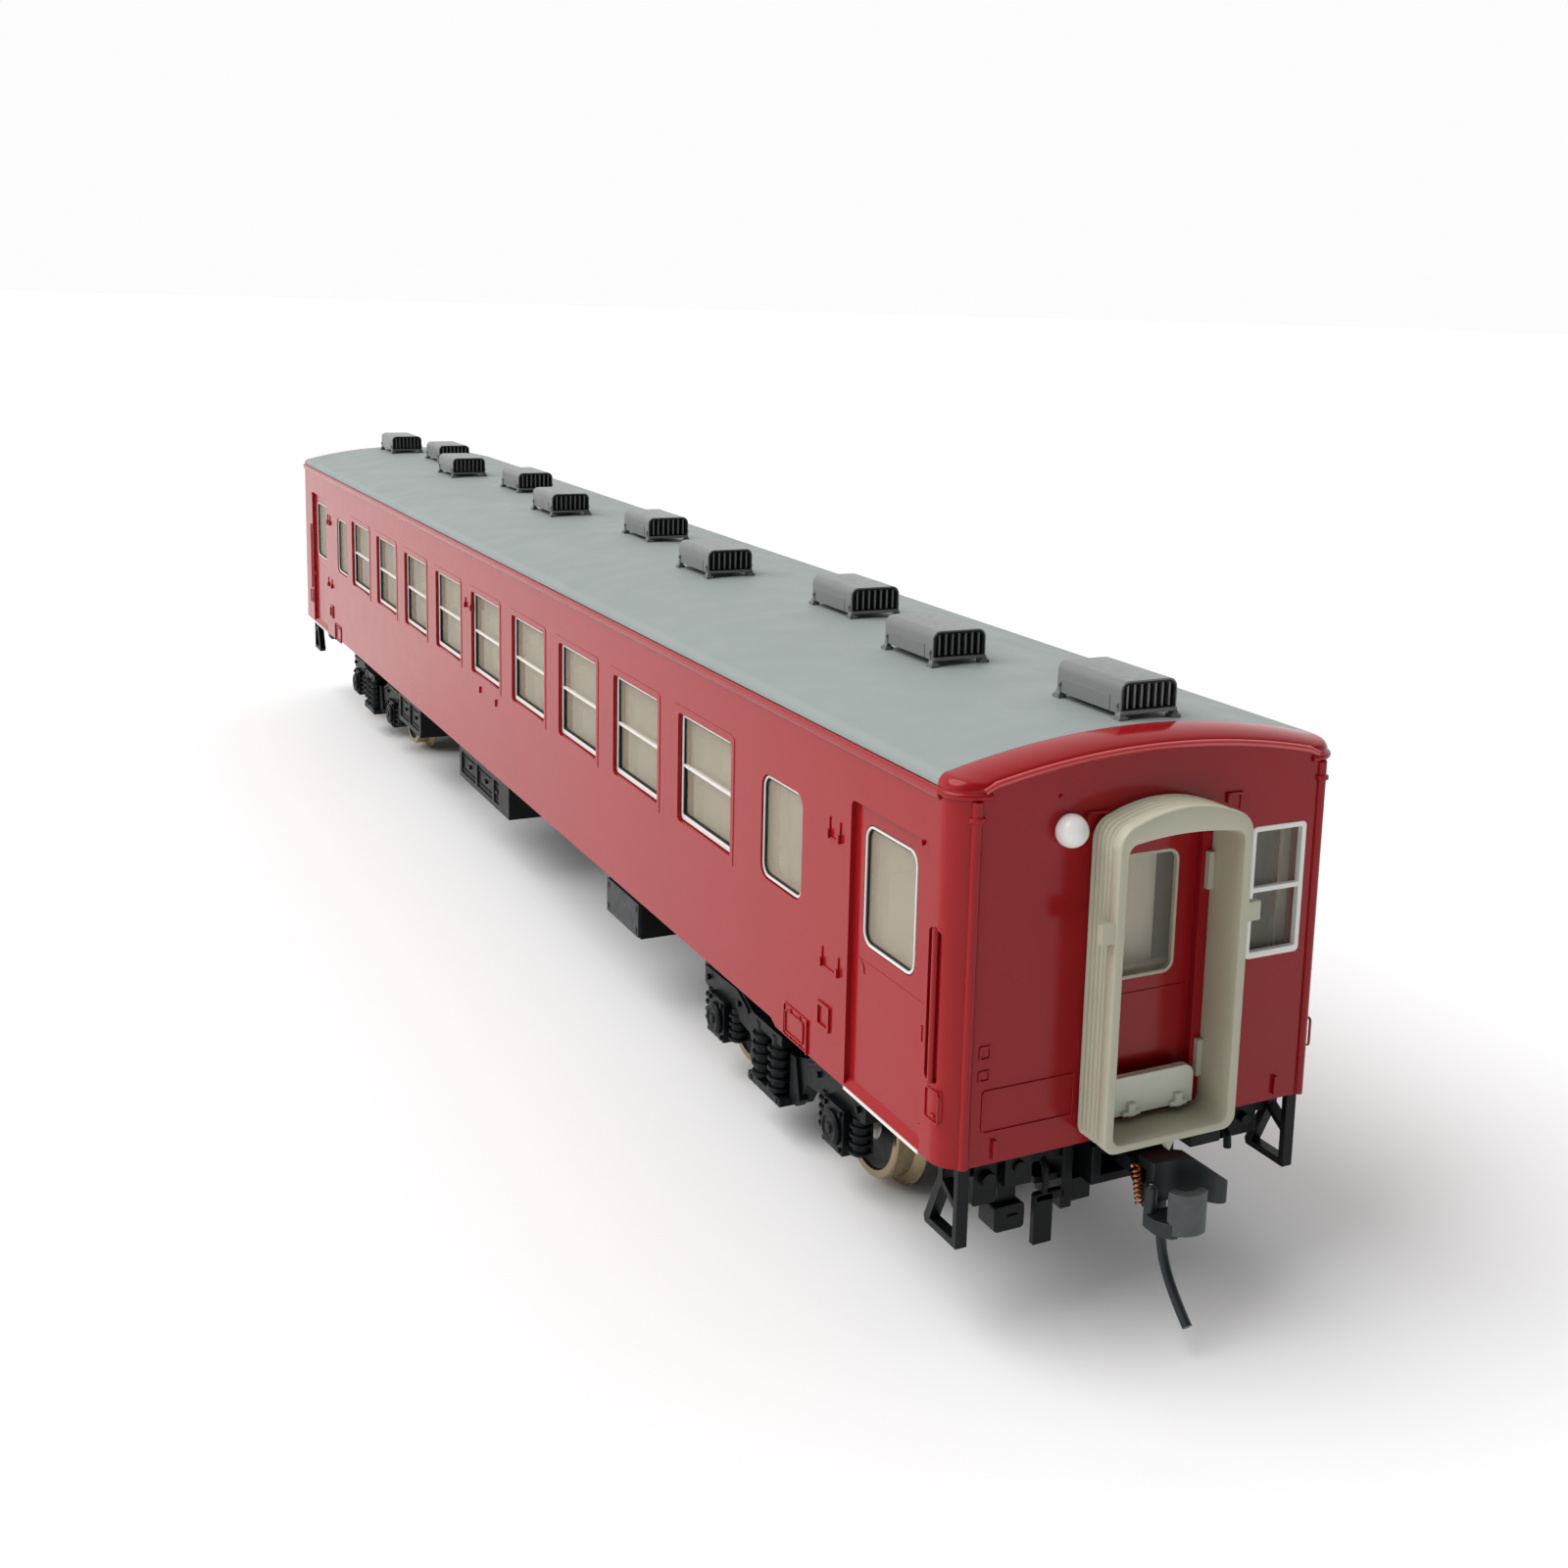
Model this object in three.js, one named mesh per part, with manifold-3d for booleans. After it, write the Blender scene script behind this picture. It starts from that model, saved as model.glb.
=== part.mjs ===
// Model passenger coach in 1:80 scale, for track of 16.5 mm gauge.
// Millimetres. +X runs along the coach, +Y across it, +Z up.
// z = 0 is the bottom of the wheel flanges, and the rail heads lie FLANGE_DEPTH above it.
// Everything on the body is modelled from the body's bottom edge, in a group BODY_BOTTOM up.
// Each end of the coach is one group, modelled as if it faced +X and turned half round for the rear.
import * as THREE from "three";
import { mergeVertices } from "three/addons/utils/BufferGeometryUtils.js";
import Module from "manifold-3d";

const wasm = await Module();
wasm.setup();

// ---------- driving dimensions ----------

const GAP = 0.3; // between pieces that touch

// Body, from its bottom edge up
const BODY_LENGTH = 243.75;
const BODY_WIDTH = 35;
const WALL = 1.8;
const END_WALL = 1.5;
const EAVE = 28.5;
const CROWN = 31.6;
const END_CROWN = 30.63;
const ROOF_RADIUS = 67.6;
const CORNER_RADIUS = 2.3;
const DOME_LENGTH = 2.975; // the red cap between the grey roof and the end wall
const EAVE_ROUND = [0.9, 1.03]; // width and height of the rounding above the gutter
const GUTTER = 0.3; // how far the gutter stands out
const SKIRT = { end: 92.4, rise: 0.5, slope: 1.1 }; // between the doors the sides stop a little higher

// Side windows: nine pairs of sashes, a small window near each end and the door windows
const WINDOW_COUNT = 9;
const WINDOW_PITCH = 18.51;
const WINDOW = { centre: 75.2, width: 12.95, low: 12.15, high: 22.87, corner: 0 };
const SMALL_WINDOWS = [92.65, -87.05];
const SMALL_WINDOW = { width: 8.3, low: 12.6, high: 21.95, corner: 1.3 };
const DOORS = [111.85, -107.1];
const DOOR = { width: 12.5, low: 0.3, high: 24, recess: 0.5 };
const DOOR_WINDOW = { shift: -0.35, width: 8.5, low: 12.6, high: 22.6, corner: 1.3 };
const HANDRAIL_SLOT = { shift: 7.5, width: 1.7, low: 6.2, high: 17.9, depth: 0.7 };

// End wall
const END_DOOR = { halfWidth: 4.4, low: 0.8, high: 25, recess: 0.8 };
const END_DOOR_WINDOW = { y: 0, width: 5.7, low: 12.2, high: 22.2, corner: 1 };
const END_WINDOW = { y: 11.88, width: 5.28, low: 12.47, high: 23.16, corner: 0 };
const PIPE = { y: 15.8, inset: 0.12, radius: 0.42, collar: 26.4, top: 27.9 };
const MARKER = { y: -8.15, z: 25.1, radius: 1.27, height: 1.6 };

// Gangway and its footplate
const GANGWAY = { depth: 3.9, halfWidth: 6.1, bellows: 5.95, low: 0.7, high: 26.95, arch: 0.85 };
const PASSAGE = { halfWidth: 5.3, low: 1.35, high: 24.92, arch: 0.35 };
const FOOTPLATE = { halfWidth: 4.2, thickness: 0.7, hinge: 2.3, top: 5.1 };
const FOOTPLATE_BARRELS = [-2.3, 2.1]; // y where each hinge barrel starts

// Wheels and bogies
const WHEEL_RADIUS = 5.25;
const FLANGE_DEPTH = 0.9;
const BACK_TO_BACK = 14.4;
const WHEEL_WIDTH = 2.8;
const WHEELBASE = 26.25;
const BOGIE_CENTRES = 166.25;
const AXLE_Z = WHEEL_RADIUS + FLANGE_DEPTH;
const AXLE_RADIUS = 0.95;
const JOURNAL = { radius: 0.6, bore: 0.72, end: 12.3 };
const SIDE_FRAME = { inner: 11.3, outer: 12.9 };
const BOLSTER = { low: 8.6, high: 10.6, halfLength: 4.4 };

// Height of the body's bottom edge and of the coupler
const BODY_BOTTOM = 13.6 + FLANGE_DEPTH;
const SHANK = { low: -3.1, high: -1.9, halfWidth: 1.1, pivotX: 116.5 };
const COUPLER_BOX = { back: 113.5, front: 121.3, halfWidth: 3.9, low: -4.1, high: -0.9 };
const KNUCKLE_PIVOT = [125.7, -1.5];

const END_X = BODY_LENGTH / 2;
const SIDE_Y = BODY_WIDTH / 2;
const ROOF_END = END_X - DOME_LENGTH;
const FOOTPLATE_X = END_X + 0.55;

// ---------- materials ----------

function paint(color, roughness, metalness = 0) {
  return new THREE.MeshStandardMaterial({ color, roughness, metalness });
}

const RED = paint(0xa3232b, 0.25);
const GREY = paint(0xa9afad, 0.6);
const VENT_GREY = paint(0x6f6b66, 0.55);
const PALE_GREY = paint(0xb9beb0, 0.5);
const WHITE = paint(0xf2f2ee, 0.3);
const GLASS = new THREE.MeshStandardMaterial({
  color: 0xdfe3dc, roughness: 0.08, transparent: true, opacity: 0.35,
});
const BLACK = paint(0x14181b, 0.5);
const CREAM = paint(0xd6cdb6, 0.7);
const STEEL = paint(0x8e8f90, 0.35, 1);
const NICKEL = paint(0xb5ab98, 0.25, 1);
const COUPLER_GREY = paint(0x4b5456, 0.45, 0.6);
const COPPER = paint(0xb06a3a, 0.3, 1);

// ---------- solids ----------

function toSolid(geometry) {
  const bare = geometry.clone();
  bare.deleteAttribute("normal");
  bare.deleteAttribute("uv");
  const merged = mergeVertices(bare, 1e-4);
  return new wasm.Manifold(new wasm.Mesh({
    numProp: 3,
    vertProperties: new Float32Array(merged.attributes.position.array),
    triVerts: new Uint32Array(merged.index.array),
  }));
}

function toGeometry(solid) {
  const mesh = solid.getMesh();
  const geometry = new THREE.BufferGeometry();
  geometry.setAttribute("position", new THREE.BufferAttribute(mesh.vertProperties, 3));
  geometry.setIndex(new THREE.BufferAttribute(mesh.triVerts, 1));
  geometry.computeVertexNormals();
  return geometry;
}

function named(name, solid, material) {
  const mesh = new THREE.Mesh(toGeometry(solid), material);
  mesh.name = name;
  return mesh;
}

function union(solids) {
  return solids.reduce((whole, piece) => whole.add(piece));
}

function cut(solid, cutters) {
  return cutters.reduce((whole, cutter) => whole.subtract(cutter), solid);
}

function box(x, y, z) {
  const geometry = new THREE.BoxGeometry(x[1] - x[0], y[1] - y[0], z[1] - z[0]);
  geometry.translate((x[0] + x[1]) / 2, (y[0] + y[1]) / 2, (z[0] + z[1]) / 2);
  return toSolid(geometry);
}

// A cylinder along "x", "y" or "z", from one end to the other, with its axis at the other two places.
function rod(axis, radius, ends, centre, sides = 12) {
  const length = ends[1] - ends[0];
  const geometry = new THREE.CylinderGeometry(radius, radius, length, sides);
  const middle = (ends[0] + ends[1]) / 2;
  if (axis === "x") {
    geometry.rotateZ(-Math.PI / 2);
    geometry.translate(middle, centre[0], centre[1]);
  } else if (axis === "y") {
    geometry.translate(centre[0], middle, centre[1]);
  } else {
    geometry.rotateX(Math.PI / 2);
    geometry.translate(centre[0], centre[1], middle);
  }
  return toSolid(geometry);
}

function outline(points) {
  return new THREE.Shape(points.map(([a, b]) => new THREE.Vector2(a, b)));
}

// A shape drawn in (y, z), extruded along x.
function prismX(shape, x, curveSegments = 3) {
  const settings = { depth: x[1] - x[0], bevelEnabled: false, curveSegments };
  const geometry = new THREE.ExtrudeGeometry(shape, settings);
  const turn = new THREE.Matrix4().set(0, 0, 1, x[0], 1, 0, 0, 0, 0, 1, 0, 0, 0, 0, 0, 1);
  geometry.applyMatrix4(turn);
  return toSolid(geometry);
}

// A shape drawn in (x, z), extruded along y.
function prismY(shape, y, curveSegments = 3) {
  const settings = { depth: y[1] - y[0], bevelEnabled: false, curveSegments };
  const geometry = new THREE.ExtrudeGeometry(shape, settings);
  geometry.rotateX(Math.PI / 2);
  geometry.translate(0, y[1], 0);
  return toSolid(geometry);
}

// A shape drawn in (x, y), extruded along z.
function prismZ(shape, z, curveSegments = 3) {
  const settings = { depth: z[1] - z[0], bevelEnabled: false, curveSegments };
  const geometry = new THREE.ExtrudeGeometry(shape, settings);
  geometry.translate(0, 0, z[0]);
  return toSolid(geometry);
}

// A solid of revolution about y, from its radius and y at each point of the profile.
function turnedY(profile, centre, sides) {
  const points = profile.map(([radius, y]) => new THREE.Vector2(radius, y));
  const geometry = new THREE.LatheGeometry([...points, points[0]], sides);
  geometry.translate(centre[0], 0, centre[1]);
  return toSolid(geometry);
}

function roundedRect(centre, width, low, high, corner) {
  const left = centre - width / 2;
  const right = centre + width / 2;
  if (corner === 0) {
    return outline([[left, low], [right, low], [right, high], [left, high]]);
  }
  const shape = new THREE.Shape();
  shape.moveTo(left + corner, low);
  shape.lineTo(right - corner, low);
  shape.absarc(right - corner, low + corner, corner, -Math.PI / 2, 0);
  shape.lineTo(right, high - corner);
  shape.absarc(right - corner, high - corner, corner, 0, Math.PI / 2);
  shape.lineTo(left + corner, high);
  shape.absarc(left + corner, high - corner, corner, Math.PI / 2, Math.PI);
  shape.lineTo(left, low + corner);
  shape.absarc(left + corner, low + corner, corner, Math.PI, Math.PI * 1.5);
  return shape;
}

function bothSides(make) {
  return [make(-1), make(1)];
}

// The same solid turned half round about z.
function turned(solid) {
  return toSolid(toGeometry(solid).rotateZ(Math.PI));
}

function span(side, near, far) {
  return side < 0 ? [-far, -near] : [near, far];
}

// ---------- body shell ----------

// Height of a roof arch of a given crown at y.
function archZ(y, crown, radius = ROOF_RADIUS) {
  return crown - (radius - Math.sqrt(radius * radius - y * y));
}

// The roof's outline from the +Y eave to the -Y eave, for a body of this half width and crown.
function roofLine(halfWidth, crown, eave = EAVE) {
  const [roundWidth, roundHeight] = EAVE_ROUND;
  const arcEnd = halfWidth - roundWidth;
  const scale = (archZ(arcEnd, crown) - eave) / roundHeight;
  const points = [];
  for (const angle of [0, 30, 60]) {
    const a = THREE.MathUtils.degToRad(angle);
    points.push([arcEnd + roundWidth * Math.cos(a), eave + roundHeight * scale * Math.sin(a)]);
  }
  const steps = 8;
  for (let i = 0; i <= steps; i += 1) {
    const y = arcEnd * (1 - (2 * i) / steps);
    points.push([y, archZ(y, crown)]);
  }
  const mirrored = points.slice(0, 3).map(([y, z]) => [-y, z]).reverse();
  return [...points, ...mirrored];
}

// A closed solid through rings of [y, z] points, each at its own x. Rings are convex.
function loft(sections) {
  const count = sections[0].ring.length;
  const positions = [];
  const indices = [];
  for (const { x, ring } of sections) {
    for (const [y, z] of ring) {
      positions.push(x, y, z);
    }
  }
  for (let s = 0; s + 1 < sections.length; s += 1) {
    for (let i = 0; i < count; i += 1) {
      const a = s * count + i;
      const b = s * count + ((i + 1) % count);
      indices.push(a, b + count, b, a, a + count, b + count);
    }
  }
  const last = (sections.length - 1) * count;
  for (let i = 1; i + 1 < count; i += 1) {
    indices.push(0, i, i + 1, last, last + i + 1, last + i);
  }
  const geometry = new THREE.BufferGeometry();
  geometry.setAttribute("position", new THREE.Float32BufferAttribute(positions, 3));
  geometry.setIndex(indices.map((_, i) => indices[i - (i % 3) + (2 - (i % 3))]));
  return toSolid(geometry);
}

// Outer form: straight sides with rounded vertical corners and a domed cap at each end.
function bodyForm() {
  const half = [];
  half.push({ x: ROOF_END, halfWidth: SIDE_Y });
  for (let angle = 0; angle <= 90; angle += 22.5) {
    const a = THREE.MathUtils.degToRad(angle);
    half.push({
      x: END_X - CORNER_RADIUS * (1 - Math.sin(a)),
      halfWidth: SIDE_Y - CORNER_RADIUS * (1 - Math.cos(a)),
    });
  }
  const sections = half.map(({ x, halfWidth }) => {
    const along = Math.min((x - ROOF_END) / DOME_LENGTH, 1);
    const crown = END_CROWN + (CROWN - END_CROWN) * Math.sqrt(1 - along * along);
    const ring = [[-halfWidth, 0], [halfWidth, 0], ...roofLine(halfWidth, crown)];
    return { x, ring };
  });
  const rear = sections.map(({ x, ring }) => ({ x: -x, ring })).reverse();
  return loft([...rear, ...sections]);
}

function sideWindowShapes() {
  const shapes = [];
  for (let i = 0; i < WINDOW_COUNT; i += 1) {
    const centre = WINDOW.centre - i * WINDOW_PITCH;
    shapes.push({ at: centre, ...WINDOW });
  }
  for (const centre of SMALL_WINDOWS) {
    shapes.push({ at: centre, ...SMALL_WINDOW });
  }
  return shapes;
}

function doorWindowShapes() {
  return DOORS.map((centre) => ({ at: centre + Math.sign(centre) * DOOR_WINDOW.shift, ...DOOR_WINDOW }));
}

function windowPrism({ at, width, low, high, corner }, y, inset = 0) {
  const shape = roundedRect(at, width - 2 * inset, low + inset, high - inset, corner);
  return prismY(shape, y, 2);
}

function endWindowPrism({ y, width, low, high, corner }, x, inset = 0) {
  const shape = roundedRect(y, width - 2 * inset, low + inset, high - inset, corner);
  return prismX(shape, x, 2);
}

function doorCutters(side) {
  const cutters = [];
  for (const centre of DOORS) {
    const recess = span(side, SIDE_Y - DOOR.recess, SIDE_Y + 1);
    const x = [centre - DOOR.width / 2, centre + DOOR.width / 2];
    cutters.push(box(x, recess, [DOOR.low, DOOR.high]));
    const slotCentre = centre + Math.sign(centre) * HANDRAIL_SLOT.shift;
    const slot = span(side, SIDE_Y - HANDRAIL_SLOT.depth, SIDE_Y + 1);
    const slotX = [slotCentre - HANDRAIL_SLOT.width / 2, slotCentre + HANDRAIL_SLOT.width / 2];
    cutters.push(box(slotX, slot, [HANDRAIL_SLOT.low, HANDRAIL_SLOT.high]));
  }
  return cutters;
}

// Cutters for one end wall, facing +X.
function endCutters() {
  const door = [END_X - END_DOOR.recess, END_X + 1];
  const through = [END_X - END_WALL - 1, END_X + 1];
  const width = [-END_DOOR.halfWidth, END_DOOR.halfWidth];
  return [
    box(door, width, [END_DOOR.low, END_DOOR.high]),
    endWindowPrism(END_DOOR_WINDOW, through),
    endWindowPrism(END_WINDOW, through),
  ];
}

// Rain pipes and the lugs that carry the footplate's hinge, on one end wall.
function endMouldings() {
  const pieces = [];
  for (const side of [-1, 1]) {
    const y = side * PIPE.y;
    const x = END_X - PIPE.inset;
    pieces.push(rod("z", PIPE.radius, [0, PIPE.top], [x, y], 8));
    pieces.push(rod("z", PIPE.radius + 0.2, [PIPE.collar, PIPE.collar + 0.4], [x, y], 8));
  }
  const floor = END_X - END_DOOR.recess - 0.2;
  for (const y of [-3.4, 1.0]) {
    pieces.push(box([floor, END_X - 0.2], [y, y + 0.7], [FOOTPLATE.hinge - 0.45, FOOTPLATE.hinge + 0.45]));
  }
  return pieces;
}

function bodyShell() {
  let shell = bodyForm();
  const gutters = bothSides((side) => {
    const y = span(side, SIDE_Y - 0.4, SIDE_Y + GUTTER);
    return box([-ROOF_END - 0.6, ROOF_END + 0.6], y, [EAVE - 0.5, EAVE]);
  });
  shell = union([shell, ...gutters]);
  const inside = SIDE_Y - WALL;
  const cavity = box([-END_X + END_WALL, END_X - END_WALL], [-inside, inside], [-1, EAVE - 1.2]);
  const lid = box([-ROOF_END, ROOF_END], [-SIDE_Y - 1, SIDE_Y + 1], [EAVE, CROWN + 1]);
  const mouth = box([-ROOF_END, ROOF_END], [-inside, inside], [EAVE - 2, EAVE + 1]);
  const { end: skirtEnd, rise, slope } = SKIRT;
  const skirt = outline([
    [-skirtEnd, -1], [skirtEnd, -1], [skirtEnd, 0], [skirtEnd - slope, rise], [-skirtEnd + slope, rise],
    [-skirtEnd, 0],
  ]);
  const step = prismY(skirt, [-SIDE_Y - 1, SIDE_Y + 1]);
  shell = cut(shell, [cavity, lid, mouth, step]);
  for (const side of [-1, 1]) {
    const through = span(side, inside - 1, SIDE_Y + 1);
    const holes = [...sideWindowShapes(), ...doorWindowShapes()];
    shell = cut(shell, doorCutters(side));
    shell = cut(shell, holes.map((hole) => windowPrism(hole, through)));
  }
  for (let end = 0; end < 2; end += 1) {
    shell = cut(shell, endCutters());
    shell = turned(union([shell, ...endMouldings()]));
  }
  return shell;
}

// ---------- roof and ventilators ----------

const ROOF_THICKNESS = 1.2;
const VENTILATORS = [113.1, 90.3, 67.6, 39.7, 11.5, -16.2, -44, -68.3, -91.2, -110.5];
const VENTILATOR = { y: 1.8, length: 8.75, width: 5.3, low: 32.05, high: 34.6, round: 0.7 };

function roof() {
  const eave = EAVE + GAP;
  const outer = roofLine(SIDE_Y - 0.05, CROWN, eave);
  const innerY = SIDE_Y - WALL - 0.2;
  const inner = [];
  const steps = 8;
  for (let i = 0; i <= steps; i += 1) {
    const y = innerY * ((2 * i) / steps - 1);
    inner.push([y, archZ(y, CROWN - ROOF_THICKNESS)]);
  }
  inner[0][1] = eave;
  inner[steps][1] = eave;
  return prismX(outline([...outer, ...inner]), [-ROOF_END + GAP, ROOF_END - GAP]);
}

// A hood on four feet, centred on x = 0. The feet follow the slope of the roof at y.
function ventilator(y) {
  const { length, width, low, high, round } = VENTILATOR;
  const end = length / 2;
  const side = width / 2;
  const hood = new THREE.Shape();
  hood.moveTo(-side, low);
  hood.lineTo(side, low);
  hood.lineTo(side, high - round);
  hood.absarc(side - round, high - round, round, 0, Math.PI / 2);
  hood.lineTo(-side + round, high);
  hood.absarc(-side + round, high - round, round, Math.PI / 2, Math.PI);
  let solid = prismX(hood, [-end, end], 1);
  for (const face of [-1, 1]) {
    for (const flank of [-1, 1]) {
      const footY = flank * (side - 0.35);
      const ground = archZ(Math.abs(y + footY) + 0.4, CROWN) + GAP;
      const footX = face * (end - 0.1);
      const x2 = [footX - 0.4, footX + 0.4];
      solid = solid.add(box(x2, [footY - 0.3, footY + 0.3], [ground + 0.1, low + 0.4]));
    }
  }
  return solid;
}

// ---------- glazing ----------

const PANE = { side: 0.7, door: 0.3, plate: 0.6, margin: 1.1, play: 0.12 };

function sideGlazing(side) {
  const inside = SIDE_Y - WALL - GAP;
  const plate = box([-118, 118], span(side, inside - PANE.plate, inside), [WINDOW.low - 1.5, WINDOW.high + 1.5]);
  const windows = sideWindowShapes().map((hole) => {
    const y = span(side, inside - 0.2, SIDE_Y - PANE.side);
    return windowPrism(hole, y, PANE.play);
  });
  const doors = doorWindowShapes().map((hole) => {
    const y = span(side, inside - 0.2, SIDE_Y - DOOR.recess - PANE.door);
    return windowPrism(hole, y, PANE.play);
  });
  return union([plate, ...windows, ...doors]);
}

function endGlazing() {
  const inside = END_X - END_WALL - GAP;
  const plate = box([inside - PANE.plate, inside], [-4.5, 15], [WINDOW.low - PANE.margin, WINDOW.high + PANE.margin]);
  const door = endWindowPrism(END_DOOR_WINDOW, [inside - 0.2, END_X - END_DOOR.recess - PANE.door], PANE.play);
  const window = endWindowPrism(END_WINDOW, [inside - 0.2, END_X - PANE.side], PANE.play);
  return union([plate, door, window]);
}

// ---------- end of the coach: gangway, footplate, marker ----------

// The gangway's outline in (y, z): straight sides, an arched top and rounded corners.
function archShape(halfWidth, low, high, arch, corner, topCorner) {
  const shoulder = high - arch;
  const shape = new THREE.Shape();
  shape.moveTo(-halfWidth + corner, low);
  shape.lineTo(halfWidth - corner, low);
  shape.absarc(halfWidth - corner, low + corner, corner, -Math.PI / 2, 0);
  shape.lineTo(halfWidth, shoulder - topCorner);
  shape.absarc(halfWidth - topCorner, shoulder - topCorner, topCorner, 0, Math.PI * 0.42);
  shape.lineTo(0, high);
  shape.absarc(-halfWidth + topCorner, shoulder - topCorner, topCorner, Math.PI * 0.58, Math.PI);
  shape.lineTo(-halfWidth, low + corner);
  shape.absarc(-halfWidth + corner, low + corner, corner, Math.PI, Math.PI * 1.5);
  return shape;
}

function gangway() {
  const { depth, halfWidth, bellows, low, high, arch } = GANGWAY;
  const back = END_X + GAP;
  const front = END_X + depth;
  const frameBack = front - 1.2;
  const folds = 3;
  const pitch = (frameBack - back) / folds;
  const tube = archShape(bellows - 0.15, low + 0.15, high - 0.3, arch, 0.9, 1.8);
  const pieces = [prismX(tube, [back, frameBack + 0.1], 1)];
  for (let i = 0; i < folds; i += 1) {
    const x = back + i * pitch;
    const fold = archShape(bellows, low, high - 0.15, arch, 1, 1.9);
    pieces.push(prismX(fold, [x, x + pitch * 0.6], 1));
  }
  pieces.push(prismX(archShape(halfWidth, low, high, arch, 1.1, 2), [frameBack, front]));
  for (const side of [-1, 1]) {
    pieces.push(box([frameBack + 0.3, front - 0.1], span(side, halfWidth - 0.3, halfWidth + 1.2), [17.2, 18.8]));
  }
  const notch = outline([[-0.6, low + 0.3], [0, low - 0.7], [0.6, low + 0.3]]);
  pieces.push(prismX(notch, [frameBack + 0.3, front - 0.1]));
  const passage = archShape(PASSAGE.halfWidth, PASSAGE.low, PASSAGE.high, PASSAGE.arch, 0.8, 0.9);
  return union(pieces).subtract(prismX(passage, [back - 1, front + 1], 2));
}

// Stands upright on its hinge in front of the end door.
function footplate() {
  const { halfWidth, thickness, hinge, top } = FOOTPLATE;
  const x = [FOOTPLATE_X - thickness / 2, FOOTPLATE_X + thickness / 2];
  const corner = 0.9;
  const shape = new THREE.Shape();
  shape.moveTo(-halfWidth, hinge - thickness / 2);
  shape.lineTo(halfWidth, hinge - thickness / 2);
  shape.lineTo(halfWidth, top - corner);
  shape.absarc(halfWidth - corner, top - corner, corner, 0, Math.PI / 2);
  shape.lineTo(corner - halfWidth, top);
  shape.absarc(corner - halfWidth, top - corner, corner, Math.PI / 2, Math.PI);
  const plate = prismX(shape, x, 2);
  const barrels = FOOTPLATE_BARRELS.map((y) => rod("y", 0.45, [y, y + 1.1], [FOOTPLATE_X, hinge], 8));
  return union([plate, ...barrels]);
}

// A round lens that bulges from the end wall.
function markerLens() {
  const { y, z, radius, height } = MARKER;
  const profile = [[0, 0], [radius, 0], [radius, height * 0.45]];
  for (const angle of [30, 60]) {
    const a = THREE.MathUtils.degToRad(angle);
    profile.push([radius * Math.cos(a), height * (0.45 + 0.55 * Math.sin(a))]);
  }
  profile.push([0, height]);
  const points = profile.map(([r, h]) => new THREE.Vector2(r, h));
  const geometry = new THREE.LatheGeometry(points, 16);
  geometry.rotateZ(-Math.PI / 2);
  geometry.translate(END_X + GAP, y, z);
  return toSolid(geometry);
}

// ---------- underframe and what hangs from it ----------

const FLOOR = { low: 0.3, high: 1.6, halfWidth: 15.3, end: 120 };
const SILL = { near: 13.2, far: 14.2, low: -1.4, end: 113 };
const CROSS_MEMBERS = [-66, -30, 0, 30, 66];
const BOSS = { radius: 2.6, bottom: BOLSTER.high + GAP - BODY_BOTTOM };
const SCREW = { radius: 1.2, headRadius: 2.1, head: 0.8 };
const BOLSTER_HOLE = 1.5;

// Moulded gear under one end beam: sockets, pipes and brackets either side of the coupler.
function endGear() {
  const pieces = bothSides((side) => box([117.4, 119.4], span(side, 4.4, 14.4), [-2.2, 0.5]));
  const blocks = [
    { x: [116.4, 119.9], y: [-13.6, -11.6], z: [-4.4, 0] },
    { x: [117, 120.4], y: [-11.2, -8.8], z: [-3.2, 0] },
    { x: [117.4, 119.8], y: [-11.6, -8.9], z: [-7.1, -5] },
    { x: [117.6, 119.2], y: [-11, -9.4], z: [-5.2, -1] },
    { x: [119.2, 119.8], y: [-8, -6.3], z: [-8.9, -4.7] },
    { x: [119.2, 119.8], y: [-6.6, -5.3], z: [-5.4, -4.7] },
    { x: [117, 119.3], y: [-7.8, -5.3], z: [-4.1, -3.5] },
    { x: [116, 119.8], y: [-5.6, -4.6], z: [-6.4, 0] },
    { x: [117, 119.4], y: [-5, -2.6], z: [-6.2, -4.3] },
    { x: [116, 119], y: [10.2, 14], z: [-4.2, 0] },
    { x: [117, 120.2], y: [6.4, 9.4], z: [-3.6, 0] },
  ];
  for (const { x, y, z } of blocks) {
    pieces.push(box(x, y, z));
  }
  return union(pieces);
}

function underframe() {
  let frame = box([-FLOOR.end, FLOOR.end], [-FLOOR.halfWidth, FLOOR.halfWidth], [FLOOR.low, FLOOR.high]);
  const sills = [box([-68, 68], [-2.2, 2.2], [-1.9, 0.5])];
  for (const side of [-1, 1]) {
    sills.push(box([-SILL.end, SILL.end], span(side, SILL.near, SILL.far), [SILL.low, 0.5]));
  }
  for (const x of CROSS_MEMBERS) {
    sills.push(box([x - 0.6, x + 0.6], [-13.5, 13.5], [-1.2, 0.5]));
  }
  frame = union([frame, ...sills]);
  for (const x of [-BOGIE_CENTRES / 2, BOGIE_CENTRES / 2]) {
    frame = frame.add(rod("z", BOSS.radius, [BOSS.bottom, 0.5], [x, 0], 12));
    frame = frame.add(box([x - 3.2, x + 3.2], [-10, 10], [-1.3, 0.5]));
    frame = frame.subtract(rod("z", SCREW.radius + 0.15, [-8, 3], [x, 0], 12));
  }
  for (let end = 0; end < 2; end += 1) {
    frame = turned(frame.add(endGear()));
  }
  return frame;
}

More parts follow.
